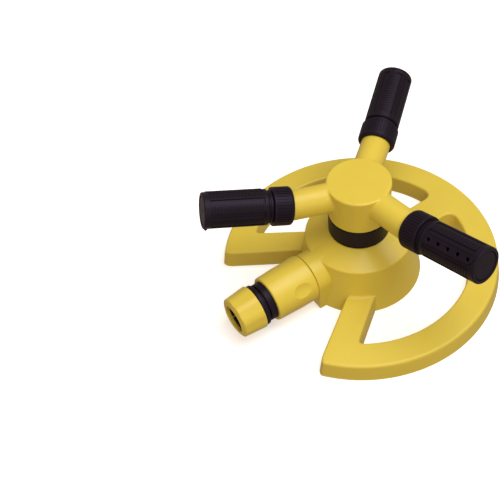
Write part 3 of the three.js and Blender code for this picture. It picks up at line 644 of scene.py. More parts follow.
# %% Base: disc, hub and shroud
def hub_outline(inset, floor):
    """The hub's wall leans in, and its deck falls from the collar to a crisp edge."""
    top = HUB_H - inset
    edge = top - DECK_DROP
    rounding = max(HUB_ROUND - inset, 1.2)
    fall = math.degrees(math.atan2(DECK_DROP, HUB_TOP_R - DECK_FLAT_R))
    return [
        (0, floor),
        (HUB_FOOT_R - inset, floor),
        (HUB_FOOT_R - inset, max(floor, 0) + 0.001),
        (HUB_WAIST_R - inset, RING_H),
        *corner(HUB_TOP_R - inset - rounding, edge - rounding, rounding, 7, 6, 83 - fall),
        (DECK_FLAT_R, top),
        (0, top),
    ]


def arch(name, radius, near, far, floor):
    """A round-topped tunnel block that lies along -Y over the inlet."""
    bottom = floor - INLET_Z
    points = [(radius, bottom), (radius, 0)]
    points += [(radius * math.cos(a), radius * math.sin(a)) for a in
               (math.pi * k / 32 for k in range(1, 32))]
    points += [(-radius, 0), (-radius, bottom)]
    piece = draw(name, [(x, y, near) for x, y in points] + [(*points[0], near)])
    bpy.ops.mesh.select_all(action="SELECT")
    bpy.ops.mesh.remove_doubles(threshold=1e-6)
    bpy.ops.mesh.edge_face_add()
    bpy.ops.mesh.extrude_region_move(TRANSFORM_OT_translate={"value": (0, 0, (far - near) * MM)})
    clean(piece)
    leave()
    return piece


ALONG_INLET = Matrix.Translation((0, 0, INLET_Z * MM)) @ Matrix.Rotation(math.pi / 2, 4, "X")
SHROUD_R = 17.2
CENTRE_BORE = 11.3

disc = turn(
    "base_moulding",
    [
        (0, 0),
        (FOOT_R - 0.3, 0),
        (FOOT_R, 0.3),
        (BASE_R + 0.25, RING_H - 2.2),
        *corner(BASE_R - 2.0, RING_H - 2.2, 2.2, 5, 6, 85),
        (0, RING_H),
    ],
    288,
)
right_window = bit("window_bit", window_outline, RING_H, -1, DRAFT)
left_window = mirrored(right_window, "left_window_bit")
notch = bit("notch_bit", notch_outline, RING_H, -1, DRAFT)
for tool in (right_window, left_window, notch):
    combine(disc, tool)
print("ring milled:", len(disc.data.polygons), "faces")

# %% [markdown]
# The hub and its shroud go on top. A moulding never meets at a sharp inner corner, so each spoke
# gets a small cove where it runs into the hub.

# %% Base: hub, coves and shroud
hub = turn("hub", hub_outline(0, 0), 192)
shroud = arch("shroud", SHROUD_R, 30, SHROUD_FRONT, 0)
edit(shroud, "EDGE")
pick(shroud, lambda m, n: abs(m.z - SHROUD_FRONT) < 0.01 and m.y > -INLET_Z + 0.5, "EDGE")
bpy.ops.mesh.bevel(offset=0.7 * MM, segments=3, affect="EDGES")
leave()
settle(shroud, ALONG_INLET)
combine(hub, shroud, "UNION")
base = combine(disc, hub, "UNION")

COVE = 2.6
COVE_TOP = RING_H + COVE


def plain_bit(name, outline, offset, low, high):
    """A straight-sided tool with one plan outline."""
    tool = draw(name, [(p.x, p.y, low) for p in [*outline(offset), outline(offset)[0]]])
    bpy.ops.mesh.select_all(action="SELECT")
    bpy.ops.mesh.remove_doubles(threshold=1e-6)
    bpy.ops.mesh.edge_face_add()
    bpy.ops.mesh.extrude_region_move(TRANSFORM_OT_translate={"value": (0, 0, (high - low) * MM)})
    clean(tool)
    leave()
    return tool


wall_r = HUB_WAIST_R - 0.3
fillet = turn(
    "fillet",
    [
        (wall_r - 3, RING_H - 1),
        (wall_r + COVE, RING_H - 1),
        (wall_r + COVE, RING_H),
        *corner(wall_r + COVE, COVE_TOP, COVE, 270, 8, -90)[1:],
        (wall_r - 3, COVE_TOP),
    ],
    192,
)
pane = plain_bit("pane", window_outline, EDGE_ROUND, RING_H - 2, COVE_TOP + 1)
for tool in (mirrored(pane, "left_pane"), pane):
    combine(fillet, tool)
combine(fillet, plain_bit("gap", notch_outline, EDGE_ROUND, RING_H - 2, COVE_TOP + 1))
combine(base, fillet, "UNION")
print("base joined:", len(base.data.polygons), "faces")

# %% [markdown]
# A moulding has even walls, or it would sink and warp as it cools. So the underside is milled too:
# a channel follows the ring and the spokes, the hub and the shroud are hollow, and four screw
# bosses stand up from the deck for the bottom cover.

# %% Base: underside
DECK_UNDER = HUB_H - 3
COVER_TOP = 3.3
BOSS_R = 4.4
SCREW_R = 1.7
screws = [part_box(f"cover_screw_{k}") for k in (1, 2, 3, 4)]
screw_places = [((low + high) / 2 / MM).to_2d() for low, high in screws]
bolts = [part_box(f"elbow_screw_{k}") for k in (1, 2, 3)]
bolt_places = [((low + high) / 2 / MM).to_2d() for low, high in bolts]
PLUG_HOLE_R = 8.95
BUSH_HOLE_R = 11.3

channel = turn("channel", [(0, -1), (BASE_R - WALL, -1), (BASE_R - WALL, RING_H - WALL),
                           (0, RING_H - WALL)], 192)
pane = plain_bit("pane", window_outline, WALL + DRAFT, -2, RING_H)
for tool in (mirrored(pane, "left_pane"), pane):
    combine(channel, tool)
combine(channel, plain_bit("gap", notch_outline, WALL + DRAFT, -2, RING_H))
combine(channel, turn("hub_core", hub_outline(0, -3), 192))
combine(base, channel)

inside = turn("inside", hub_outline(WALL, -1), 192)
combine(inside, block("deck_cut", (120, 120, 20), (0, 0, DECK_UNDER + 10)))
combine(base, inside)
tunnel = arch("tunnel", SHROUD_R - WALL, 30, SHROUD_FRONT - WALL, -1)
combine(base, settle(tunnel, ALONG_INLET))
for place in screw_places:
    boss = rod("boss", BOSS_R, COVER_TOP, DECK_UNDER + 0.5, place)
    combine(boss, turn("boss_limit", hub_outline(1, -1), 192), "INTERSECT")
    combine(base, boss, "UNION")
for place in screw_places:
    combine(base, rod("screw_hole", SCREW_R, 0, 14, place, 24))
for place in bolt_places:
    combine(base, rod("bolt_hole", SCREW_R + 0.3, DECK_UNDER - 1, HUB_H + 1, place, 24))
combine(base, rod("bush_hole", BUSH_HOLE_R, DECK_UNDER - 1, HUB_H + 1, steps=64))
plug_hole = rod("plug_hole", PLUG_HOLE_R, 33, SHROUD_FRONT + 1, steps=64)
combine(base, settle(plug_hole, ALONG_INLET))

edit(base)
clean(base)
leave()
soften(base, 30)
hand_over(base, "base_shell")


# %% [markdown]
# ## The bottom cover and its screws
# A disc closes the hub from below, with a tongue under the shroud. Four pan-head screws sit in
# counterbores, so that the object stands on the ring and not on the screws. One screw is modelled
# and the others are copies of it.

# %% Bottom cover
COVER_H = 3.0
COVER_R = width_of("bottom_cover", X) / 2
TONGUE_END = -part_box("bottom_cover")[0].y / MM
HEAD_R = 3.1
HEAD_HIGH = 2.2

cover = turn(
    "cover_plate",
    [(0, 0.5), (12, 0.5), (12.8, 0), (COVER_R - 0.6, 0), (COVER_R, 0.6),
     (COVER_R - 0.25, COVER_H), (0, COVER_H)],
    144,
)
tongue_size = (2 * (SHROUD_R - WALL - 0.35), 30, COVER_H)
tongue = block("tongue", tongue_size, (0, 15 - TONGUE_END, COVER_H / 2))
edit(tongue, "EDGE")
pick(tongue, lambda m, n: m.y < -TONGUE_END + 1 or m.z < 0.1, "EDGE")
bpy.ops.mesh.bevel(offset=0.5 * MM, segments=2, affect="EDGES")
leave()
combine(cover, tongue, "UNION")
for place in screw_places:
    combine(cover, rod("hole", SCREW_R, -1, COVER_H + 1, place, 32))
    combine(cover, rod("counterbore", HEAD_R + 0.35, -1, HEAD_HIGH, place, 32))
soften(cover)
hand_over(cover, "bottom_cover")

# %% Screws
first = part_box("cover_screw_1")
SCREW_LOW, SCREW_HIGH = first[0].z / MM, first[1].z / MM
screw = turn(
    "pan_screw",
    [
        (0, SCREW_LOW),
        (HEAD_R - 1.0, SCREW_LOW),
        (HEAD_R - 0.3, SCREW_LOW + 0.35),
        (HEAD_R, SCREW_LOW + 0.9),
        (HEAD_R, SCREW_LOW + 1.6),
        (1.4, SCREW_LOW + 1.6),
        (1.4, SCREW_HIGH - 2),
        (0, SCREW_HIGH),
    ],
    40,
)
for size in ((3.4, 0.8, 1.8), (0.8, 3.4, 1.8)):
    combine(screw, block("cross", size, (0, 0, SCREW_LOW)))
for number, place in enumerate(screw_places, 1):
    twin = copy_of(screw, f"cover_screw_piece_{number}")
    settle(twin, Matrix.Translation((place.x * MM, place.y * MM, 0)))
    soften(twin)
    hand_over(twin, f"cover_screw_{number}")
bpy.data.objects.remove(screw, do_unlink=True)

# %% [markdown]
# ## The bearing collar
# The black collar between base and rotor holds the bush that the spindle runs in. It is a plain
# turned ring, so its edges carry the look: a small round at the top and at the foot.

# %% Bearing collar
COLLAR_LOW, COLLAR_HIGH = collar_low.z / MM, collar_high.z / MM
LIP_R, LIP_DEPTH = 13.45, 2.1
collar = turn(
    "bearing_ring",
    [
        (BUSH_HOLE_R, COLLAR_LOW),
        (COLLAR_R - 0.3, COLLAR_LOW),
        (COLLAR_R, COLLAR_LOW + 0.3),
        *corner(COLLAR_R - 0.8, COLLAR_HIGH - 0.8, 0.8, 0, 4),
        (LIP_R, COLLAR_HIGH),
        (LIP_R, COLLAR_HIGH - LIP_DEPTH),
        (BUSH_HOLE_R, COLLAR_HIGH - LIP_DEPTH),
    ],
    128,
)
for place in bolt_places:
    combine(collar, rod("bolt_hole", SCREW_R, COLLAR_LOW - 1, COLLAR_LOW + 9, place, 24))
soften(collar)
hand_over(collar, "bearing_collar")

# %% [markdown]
# ## The rotor
# Drum and arms are one moulding, and the eye sees that in the small fillets where they meet. A
# bevel along such a curved meeting line often fails, so the joined shape is remeshed into small
# even faces and smoothed a little, which rounds the inner and outer edges alike. The hollow is cut
# after that, and stays sharp.

# %% Rotor
ROTOR_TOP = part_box("rotor_floor")[0].z / MM - 0.3 + 30.7
ROTOR_R = 22.7
ROTOR_TOP_R = 23.55
ROTOR_WALL = 2.6
ARM_R = 10.9
ARM_WALL = 2.7
ARM_END = 58.4
LOCK_START = 51.0


def arm_place(number, twist=0):
    """Local +Z runs out along the arm and local +Y is its upper side, before the twist."""
    hinge = joint(f"head_turn_{number}")
    out = Vector(hinge["axis"]).normalized()
    side = Vector((0, 0, 1)).cross(out).normalized()
    axes = Matrix((side, out.cross(side), out)).transposed().to_4x4()
    return Matrix.Translation(hinge["pos_m"]) @ axes @ turned_matrix(twist)


rotor = turn(
    "rotor_moulding",
    [
        (0, ROTOR_LOW),
        (ROTOR_R - 0.4, ROTOR_LOW),
        (ROTOR_R, ROTOR_LOW + 0.4),
        *corner(ROTOR_TOP_R - 1.2, ROTOR_TOP - 1.2, 1.2, 0, 6),
        (0, ROTOR_TOP),
    ],
    144,
)
ELBOW = LOCK_START - 0.5


def arm_rods(number, radius, near, far):
    """One arm's two straight parts: level from the drum to the elbow, then out along the head."""
    place = arm_place(number)
    elbow = place @ Vector((0, 0, ELBOW * MM)) / MM
    out = joint(f"head_turn_{number}")["axis"]
    mitre = radius * math.tan(math.asin(out[2]) / 2)
    reach = elbow.to_2d().length
    level = Matrix.Rotation(math.atan2(elbow.y, elbow.x), 4, "Z") @ Matrix.Rotation(math.pi / 2, 4, "Y")
    inner = rod("inner_arm", radius, near, reach + mitre, steps=96)
    settle(inner, Matrix.Translation((0, 0, elbow.z * MM)) @ level)
    outer = rod("outer_arm", radius, ELBOW - mitre, far, steps=96)
    settle(outer, place)
    return inner, outer


for number in ARMS:
    for piece in arm_rods(number, ARM_R, 0, ARM_END):
        combine(rotor, piece, "UNION")
apply_modifier(rotor, "REMESH", mode="VOXEL", voxel_size=0.5 * MM)
apply_modifier(rotor, "SMOOTH", factor=0.5, iterations=9)
print("rotor remeshed:", len(rotor.data.polygons), "faces")
core_r = ROTOR_R - ROTOR_WALL
core_top = ROTOR_TOP - ROTOR_WALL
core = turn("core", [(0, 40), (core_r, 40), (core_r, core_top), (0, core_top)], 96)
combine(rotor, core)
for number in ARMS:
    for piece in arm_rods(number, ARM_R - ARM_WALL, ROTOR_R / 2, ARM_END + 1):
        combine(rotor, piece)
soften(rotor, 35)
hand_over(rotor, "rotor_hub")

# %% [markdown]
# ## The lock nuts
# Each head is held by a nut with a fine grip. It is turned with three faces for each of its forty
# ribs, and every third face is then pushed in.

# %% Lock nuts
LOCK_END = 65.8
LOCK_R = 14.0
LOCK_ROUND = 2.5
RIBS = 40
NECK_BORE = 9.95


def ring_step(middle, steps):
    """Number of the side face at this place, out of `steps` round the axis."""
    return math.floor(math.atan2(middle.y, middle.x) % TURN / TURN * steps)


lock_nut = turn(
    "lock_nut",
    [
        (ARM_R + 0.35, LOCK_START),
        *corner(LOCK_R - LOCK_ROUND, LOCK_START + LOCK_ROUND, LOCK_ROUND, -90, 7),
        (LOCK_R, LOCK_START + LOCK_ROUND + 0.5),
        (LOCK_R, LOCK_END - 1.6),
        *corner(LOCK_R - 0.7, LOCK_END - 0.7, 0.7, 0, 4),
        (NECK_BORE, LOCK_END),
        (NECK_BORE, LOCK_END - 3.1),
        (ARM_R + 0.35, LOCK_END - 3.1),
    ],
    3 * RIBS,
)
edit(lock_nut)
count = pick(
    lock_nut,
    lambda m, n: m.to_2d().length > LOCK_R - 0.1
    and LOCK_START + 3.2 < m.z < LOCK_END - 1.8
    and ring_step(m, 3 * RIBS) % 3 == 0,
)
bpy.ops.mesh.inset(thickness=0.12 * MM, depth=-0.45 * MM, use_individual=True)
leave()
print("grooves in the nut:", count)
for number in ARMS:
    twin = copy_of(lock_nut, f"lock_nut_piece_{number}")
    settle(twin, arm_place(number))
    soften(twin, 28)
    hand_over(twin, f"collar_nut_{number}")
bpy.data.objects.remove(lock_nut, do_unlink=True)

# %% [markdown]
# ## The nozzle heads
# A head is a tube with eight ribs to grip it by. Smooth panels are pushed in between the ribs, and
# short grooves cross the ribs. Both are made from the faces of the turned tube, which is drawn with
# a row of narrow faces where each groove will be. One rib gives way to a flat strip with the jets.

# %% Heads: sizes
BARREL_START, BARREL_END = 68.8, 115.5
BARREL_R = 13.0
BARREL_BORE = 9.4
NECK_R = 9.6
PANEL_LOW, PANEL_HIGH = BARREL_START + 3.4, BARREL_END - 4.5
PANEL_DEEP = 0.9
TICKS, TICK_PITCH, TICK_W, TICK_DEEP = 17, 2.25, 0.55, 0.32
TICK_FIRST = PANEL_LOW + 1.8
HEAD_STEPS = 144
STRIP_MID = (BARREL_START + BARREL_END) / 2 + 0.4
STRIP_LONG, STRIP_W = 40.5, 6.2
STRIP_LOW, STRIP_HIGH = 11.9, 13.4
JETS, JET_PITCH, JET_R = 5, 8.2, 1.3
TWIST = (45, 180, 45)


# %% Heads: the barrel
def apart(middle, degrees):
    """Angle between a place and a direction round the axis."""
    turn_by = math.degrees(math.atan2(middle.y, middle.x)) - degrees
    return abs((turn_by + 180) % 360 - 180)


def in_panel(middle, normal):
    side = middle.to_2d().length > BARREL_R - 0.1 and PANEL_LOW < middle.z < PANEL_HIGH
    between_ribs = min(apart(middle, 22.5 + 45 * k) for k in range(8)) < 10
    return side and between_ribs and apart(middle, 90) > 17.5


def in_tick(middle, normal):
    side = middle.to_2d().length > BARREL_R - 0.1 and apart(middle, 90) > 20
    on_rib = min(apart(middle, 45 * k) for k in range(8)) < 10
    along = (middle.z - TICK_FIRST) / TICK_PITCH
    row = round(along - TICK_W / 2 / TICK_PITCH)
    here = abs(middle.z - TICK_FIRST - row * TICK_PITCH - TICK_W / 2) < 0.05
    return side and on_rib and here and 0 <= row < TICKS


rows = []
for k in range(TICKS):
    rows += [TICK_FIRST + k * TICK_PITCH, TICK_FIRST + k * TICK_PITCH + TICK_W]
barrel = turn(
    "barrel",
    [
        (NECK_R - 3, 60.2),
        (ARM_R - 0.3, 60.2),
        (ARM_R - 0.3, 62.4),
        (NECK_R, 62.4),
        (NECK_R, LOCK_END + 0.3),
        (NECK_R + 1.9, LOCK_END + 0.3),
        (NECK_R + 2.2, LOCK_END + 0.6),
        (NECK_R + 2.2, LOCK_END + 1.9),
        (NECK_R + 1.7, LOCK_END + 2.1),
        (NECK_R + 1.7, BARREL_START),
        *corner(BARREL_R - 1.4, BARREL_START + 1.4, 1.4, -90, 5),
        (BARREL_R, PANEL_LOW),
        *[(BARREL_R, z) for z in rows],
        (BARREL_R, PANEL_HIGH),
        *corner(BARREL_R - 0.9, BARREL_END - 0.9, 0.9, 0, 4),
        (BARREL_BORE + 1, BARREL_END),
        (BARREL_BORE + 1, BARREL_END - 3.3),
        (BARREL_BORE, BARREL_END - 3.3),
        (BARREL_BORE, BARREL_START + 3.6),
        (NECK_R - 3, BARREL_START),
    ],
    HEAD_STEPS,
)
edit(barrel)
count = pick(barrel, in_tick)
bpy.ops.mesh.inset(thickness=0.08 * MM, depth=-TICK_DEEP * MM)
print("faces in the grooves:", count)
count = pick(barrel, in_panel)
bpy.ops.mesh.inset(thickness=0.28 * MM, depth=-PANEL_DEEP * MM)
print("faces in the panels:", count)
leave()


# %% [markdown]
# The jet strip is a stadium, two half circles joined by straight sides. The same outline, a little
# larger, cuts its seat in the barrel, and a smaller one cuts the slot that feeds the jets.

# %% Heads: strip, seat and jets
def stadium(name, width, length, low, high):
    """Stands on the upper side of a barrel, long side along it, between two heights."""
    half = width / 2
    straight = length / 2 - half
    points = []
    for middle, start in ((straight, 0), (-straight, 180)):
        for k in range(17):
            a = math.radians(start + 180 * k / 16)
            x, z = half * math.cos(a), middle + half * math.sin(a)
            points.append((x, low, STRIP_MID + z))
    piece = draw(name, [*points, points[0]])
    bpy.ops.mesh.select_all(action="SELECT")
    bpy.ops.mesh.remove_doubles(threshold=1e-6)
    bpy.ops.mesh.edge_face_add()
    bpy.ops.mesh.extrude_region_move(TRANSFORM_OT_translate={"value": (0, (high - low) * MM, 0)})
    clean(piece)
    leave()
    return piece


combine(barrel, stadium("seat", STRIP_W + 0.6, STRIP_LONG + 0.6, STRIP_LOW - 0.3, BARREL_R + 2))
slot_long = (JETS - 1) * JET_PITCH + 2 * JET_R + 1
combine(barrel, stadium("slot", 2 * JET_R + 1, slot_long, BARREL_BORE / 2, BARREL_R))
nub = turn("nub", [(0, 0), (1.7, 0), (1.5, 0.9), (0.7, 1.9), (0.35, 2.1), (0, 2.15)], 32)
settle(nub, Matrix.Translation((0, (1.0 - BARREL_R) * MM, (BARREL_END - 2.0) * MM))
       @ Matrix.Rotation(math.pi / 2, 4, "X"))
combine(barrel, nub, "UNION")

strip = stadium("strip", STRIP_W, STRIP_LONG, STRIP_LOW, STRIP_HIGH)
edit(strip, "EDGE")
pick(strip, lambda m, n: m.y > STRIP_HIGH - 0.01, "EDGE")
bpy.ops.mesh.bevel(offset=0.35 * MM, segments=3, affect="EDGES")
leave()
for k in range(JETS):
    s = STRIP_MID + (k - (JETS - 1) / 2) * JET_PITCH
    jet = turn("jet", [(0, 9), (JET_R, 9), (JET_R, STRIP_HIGH - 0.3), (JET_R + 0.3, 13.5), (0, 13.5)], 32)
    settle(jet, Matrix.Translation((0, 0, s * MM)) @ Matrix.Rotation(-math.pi / 2, 4, "X"))
    combine(strip, jet)

cap = turn(
    "cap",
    [
        (0, BARREL_END - 3.0),
        (BARREL_BORE + 0.7, BARREL_END - 3.0),
        (BARREL_BORE + 0.7, BARREL_END - 0.7),
        (BARREL_BORE + 0.3, BARREL_END - 0.3),
        (1.3, BARREL_END - 0.3),
        (1.1, BARREL_END - 0.55),
        (0, BARREL_END - 0.55),
    ],
    96,
)
for number, twist in zip(ARMS, TWIST):
    for model, name in ((barrel, "nozzle_barrel"), (strip, "jet_strip"), (cap, "end_cap")):
        twin = copy_of(model, f"{model.name}_piece_{number}")
        settle(twin, arm_place(number, twist))
        soften(twin, 28)
        hand_over(twin, f"{name}_{number}")
for model in (barrel, strip, cap):
    bpy.data.objects.remove(model, do_unlink=True)

# %% [markdown]
# ## The hose connector
# All of it is turned about the inlet's axis, so it is drawn upright like any lathe work, and laid
# down at the end. Distances along it run from the rotor's axis outwards.

# %% Connector: plug on the base
PLUG_R = 8.4
PLUG_BORE = 4.8
PLUG_START = -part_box("inlet_plug")[1].y / MM
PLUG_TIP = -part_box("inlet_plug")[0].y / MM
PLUG_FLANGE = SHROUD_FRONT + 0.3
LATCH = SHROUD_FRONT + 10.2
O_RING = PLUG_TIP - 5.2
NOSE_R = PLUG_R - 0.9


def lay(piece, node, degrees=30):
    settle(piece, ALONG_INLET)
    soften(piece, degrees)
    return hand_over(piece, node)


plug = turn(
    "plug",
    [
        (PLUG_BORE, PLUG_START),
        (PLUG_R, PLUG_START),
        (PLUG_R, PLUG_FLANGE),
        *corner(PLUG_R + 2.6, PLUG_FLANGE + 0.4, 0.4, -90, 3),
        *corner(PLUG_R + 2.6, PLUG_FLANGE + 1.6, 0.4, 0, 3),
        (PLUG_R, PLUG_FLANGE + 2),
        (PLUG_R, LATCH),
        (PLUG_R - 1.5, LATCH),
        (PLUG_R - 1.5, LATCH + 4),
        (PLUG_R, LATCH + 4.4),
        (PLUG_R, LATCH + 6),
        (NOSE_R, LATCH + 7.5),
        (NOSE_R, O_RING - 1.3),
        (NOSE_R - 1.6, O_RING - 1.3),
        (NOSE_R - 1.6, O_RING + 1.3),
        (NOSE_R, O_RING + 1.3),
        *corner(NOSE_R - 0.8, PLUG_TIP - 0.8, 0.8, 0, 4),
        (PLUG_BORE, PLUG_TIP),
    ],
    96,
)
lay(plug, "inlet_plug")
seal_r = NOSE_R - 0.35
seal = turn("o_ring", corner(seal_r, O_RING, 1.0, 0, 20, 342), 96)
lay(seal, "plug_o_ring", 60)

# %% [markdown]
# The release sleeve is slightly wider at its back. Three shallow dishes, cut with a large ball,
# give the fingers a hold. Their rims meet the sleeve at a flat angle, so smooth shading keeps them
# soft, as on a moulding.

# %% Connector: release sleeve
SLEEVE_BACK_R, SLEEVE_FRONT_R = 18.45, 17.55
SLEEVE_BORE = 15.15
SLEEVE_MID = SLEEVE_START + 0.45 * (SLEEVE_END - SLEEVE_START)
ROUND = 1.6
sleeve = turn(
    "sleeve_moulding",
    [
        (13.9, SLEEVE_START),
        *corner(SLEEVE_BACK_R - ROUND, SLEEVE_START + ROUND, ROUND, -90, 7),
        (SLEEVE_BACK_R, SLEEVE_MID - 3),
        (SLEEVE_BACK_R - 0.05, SLEEVE_MID),
        (SLEEVE_BACK_R - 0.25, SLEEVE_MID + 3),
        (SLEEVE_FRONT_R + 0.12, SLEEVE_END - ROUND - 1),
        *corner(SLEEVE_FRONT_R - 1.1, SLEEVE_END - 1.1, 1.1, 0, 6),
        (SLEEVE_BORE, SLEEVE_END),
        (SLEEVE_BORE, SLEEVE_START + 11.7),
        (12.3, SLEEVE_START + 11.7),
        (12.3, SLEEVE_START + 8.2),
        (13.9, SLEEVE_START + 8.2),
    ],
    192,
)
for degrees in (90 - 60, 90 - 180, 90 - 300):
    a = math.radians(degrees)
    reach = (SLEEVE_BACK_R + 18.35) * MM
    place = (reach * math.cos(a), reach * math.sin(a), (SLEEVE_START + 13.0) * MM)
    bpy.ops.object.select_all(action="DESELECT")
    bpy.ops.mesh.primitive_uv_sphere_add(segments=160, ring_count=96, radius=20 * MM, location=place)
    ball = bpy.context.object
    only(ball)
    bpy.ops.object.transform_apply(location=True, rotation=True, scale=True)
    combine(sleeve, ball)
lay(sleeve, "release_sleeve", 34)

# %% Connector: body
BAND_R = 14.8
FLANGE_R = 16.0
THREAD_R = 11.95
BAND_START, BAND_END = SLEEVE_END - 5.3, SLEEVE_END + 5.2
FLANGE_START, FLANGE_END = BAND_END + 1.5, BAND_END + 5.2
THREAD_END = FLANGE_END + 7.5
BARB_R = 6.4
BARB_END = NUT_END - 6
SOCKET_R = 8.75
SOCKET_FLOOR = PLUG_TIP + 2.3
CLAW_SEAT_R = SOCKET_R + 2.1
body_start = PLUG_FLANGE + 6.4
threads = []
for k in range(3):
    z = FLANGE_END + 1.2 + 2.0 * k
    threads += [(THREAD_R - 0.8, z), (THREAD_R, z + 0.7), (THREAD_R, z + 1.0), (THREAD_R - 0.8, z + 1.7)]
body = turn(
    "connector_core",
    [
        (SOCKET_R, body_start),
        (THREAD_R - 0.3, body_start),
        (THREAD_R, body_start + 0.3),
        (THREAD_R, BAND_START),
        (BAND_R - 0.3, BAND_START),
        (BAND_R, BAND_START + 0.3),
        *corner(BAND_R - 0.7, BAND_END - 0.7, 0.7, 0, 4),
        (BAND_R - 1.8, BAND_END),
        (BAND_R - 1.8, FLANGE_START),
        *corner(FLANGE_R - 1.1, FLANGE_START + 1.1, 1.1, -90, 5),
        *corner(FLANGE_R - 1.1, FLANGE_END - 1.1, 1.1, 0, 5),
        (THREAD_R - 0.8, FLANGE_END),
        *threads,
        (THREAD_R - 0.8, THREAD_END),
        (BARB_R, THREAD_END),
        (BARB_R, BARB_END - 4),
        (BARB_R + 0.5, BARB_END - 4),
        (BARB_R - 0.6, BARB_END),
        (PLUG_BORE, BARB_END),
        (PLUG_BORE, SOCKET_FLOOR),
        (SOCKET_R, SOCKET_FLOOR),
        (SOCKET_R, LATCH + 4.0),
        (CLAW_SEAT_R, LATCH + 4.0),
        (CLAW_SEAT_R, LATCH - 1.8),
        (SOCKET_R, LATCH - 1.8),
    ],
    144,
)
lay(body, "connector_body")

# %% [markdown]
# The hose nut is turned, and then cut to nine soft flats. The cutter is a cone with nine sides, and
# bevelling its edges rounds the ridges between the flats before they are even made.

# %% Connector: hose nut and collet
HOSE_NUT_R = 17.3
HOSE_R = 10.5
NUT_LONG = NUT_END - NUT_START
FLATS = 9
nut = turn(
    "hose_nut_moulding",
    [
        (THREAD_R + 0.35, NUT_START),
        *corner(HOSE_NUT_R - 0.9, NUT_START + 0.9, 0.9, -90, 5),
        (HOSE_NUT_R, NUT_START + 0.5 * NUT_LONG),
        *corner(HOSE_NUT_R - 5.0, NUT_END - 5.6, 5.0, 0, 10, 68),
        *corner(HOSE_R + 0.9, NUT_END - 0.9, 0.9, 75, 6, 105),
        (HOSE_R, NUT_END - 2.6),
        (THREAD_R + 0.35, THREAD_END + 3.8),
    ],
    180,
)
bpy.ops.object.select_all(action="DESELECT")
bpy.ops.mesh.primitive_cone_add(
    vertices=FLATS,
    radius1=(HOSE_NUT_R - 0.35) / math.cos(math.pi / FLATS) * MM,
    radius2=(HOSE_NUT_R - 2.6) / math.cos(math.pi / FLATS) * MM,
    depth=(NUT_LONG + 6) * MM,
    location=(0, 0, (NUT_START + NUT_LONG / 2 + 1.5) * MM),
    rotation=(0, 0, math.pi / FLATS),
)
sides = bpy.context.object
only(sides)
bpy.ops.object.transform_apply(location=True, rotation=True, scale=True)
edit(sides, "EDGE")
pick(sides, lambda m, n: abs(n.z) > 0.005 and m.to_2d().length > 5, "EDGE")
bpy.ops.mesh.bevel(offset=3.0 * MM, segments=8, affect="EDGES")
leave()
combine(nut, sides, "INTERSECT")
lay(nut, "hose_nut", 26)

collet_start, collet_end = THREAD_END + 0.6, NUT_END - 2.8
collet_r = HOSE_R - 2.1
collet = turn(
    "collet",
    [
        (collet_r, collet_start),
        (HOSE_R + 0.7, collet_start),
        (HOSE_R + 0.7, collet_start + 2.6),
        (HOSE_R - 0.6, collet_end - 0.3),
        (HOSE_R - 0.9, collet_end),
        (collet_r + 0.3, collet_end),
        (collet_r, collet_end - 0.5),
        (collet_r, collet_end - 1.5),
        (collet_r + 0.35, collet_end - 2.0),
        (collet_r, collet_end - 2.6),
        (collet_r, collet_end - 3.4),
        (collet_r + 0.35, collet_end - 3.9),
        (collet_r, collet_end - 4.5),
    ],
    128,
)
for k in range(8):
    slit = block("slit", (1.1, 6, 12), (0, HOSE_R, collet_start + 2.6 + 6))
    combine(collet, settle(slit, turned_matrix(45 * k)))
lay(collet, "hose_collet")

# %% [markdown]
# ## Studio
# The floor is plain and pale. One large soft light hangs overhead a little behind, which gives the
# long highlights, and a warm broad fill in front keeps the yellow rich in its shaded parts.

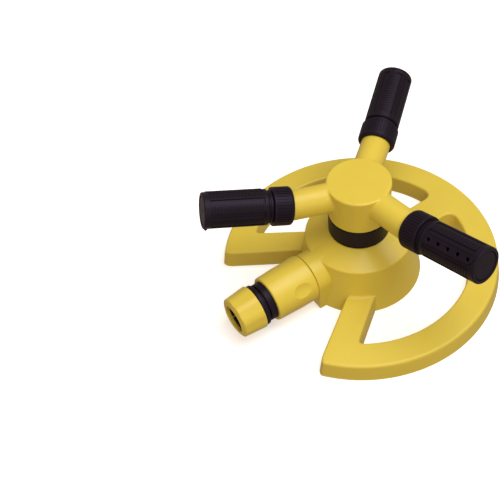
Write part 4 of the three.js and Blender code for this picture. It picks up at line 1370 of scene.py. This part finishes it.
# %% Camera
CAMERA_PLACE = Vector((348.76, -272.48, 545.18)) * MM
CAMERA_RIGHT = Vector((0.54905, 0.8306, -0.09295))
CAMERA_UP = Vector((-0.60473, 0.47157, 0.64182))
CAMERA_LENS = 63.77
camera = bpy.data.objects.new("camera", bpy.data.cameras.new("camera"))
bpy.context.scene.collection.objects.link(camera)
away = CAMERA_RIGHT.cross(CAMERA_UP).normalized()
true_up = away.cross(CAMERA_RIGHT).normalized()
axes = Matrix((CAMERA_RIGHT.normalized(), true_up, away)).transposed()
camera.matrix_world = Matrix.Translation(CAMERA_PLACE) @ axes.to_4x4()
camera.data.lens = CAMERA_LENS
camera.data.sensor_width = 36
camera.data.clip_start = 0.01
bpy.context.scene.camera = camera
print("camera at", [round(v, 3) for v in CAMERA_PLACE])


# %% Floor and lights
def floor():
    bpy.ops.object.select_all(action="DESELECT")
    bpy.ops.mesh.primitive_plane_add(size=8)
    ground = bpy.context.object
    ground.name = "studio_floor"
    paint = Paint("studio_floor")
    mottle = paint.noise(3.0)
    tone = paint.ramp(mottle, (0.3, (0.93, 0.93, 0.93)), (0.7, (0.95, 0.95, 0.95)))
    glow = {"emission_color": (1, 1, 1, 1), "emission_strength": 0.4}
    ground.data.materials.append(paint.finish(base_color=tone, roughness=0.9, **glow))
    ground.location.z = -0.0002
    ground.visible_diffuse = False
    ground.visible_glossy = False


def lamp(name, place, size, watts, colour=(1, 1, 1), target=(0, 0, 0.03)):
    light = bpy.data.lights.new(name, "AREA")
    light.shape = "RECTANGLE"
    light.size, light.size_y = size
    light.energy = watts
    light.color = colour
    holder = bpy.data.objects.new(name, light)
    bpy.context.scene.collection.objects.link(holder)
    holder.location = place
    aim = Vector(target) - Vector(place)
    holder.rotation_euler = aim.to_track_quat("-Z", "Y").to_euler()
    return holder


floor()
lamp("key", (0.25, 0.30, 1.25), (1.0, 1.0), 13, (1.0, 0.99, 0.98))
lamp("front", (0.9, -0.7, 0.8), (0.9, 0.9), 5.6, (1.0, 0.88, 0.76))
world = bpy.data.worlds.new("studio")
world.use_nodes = True
world.node_tree.nodes["Background"].inputs["Color"].default_value = (1.0, 0.82, 0.72, 1)
world.node_tree.nodes["Background"].inputs["Strength"].default_value = 0.38
bpy.context.scene.world = world
bpy.context.scene.view_settings.view_transform = "Standard"
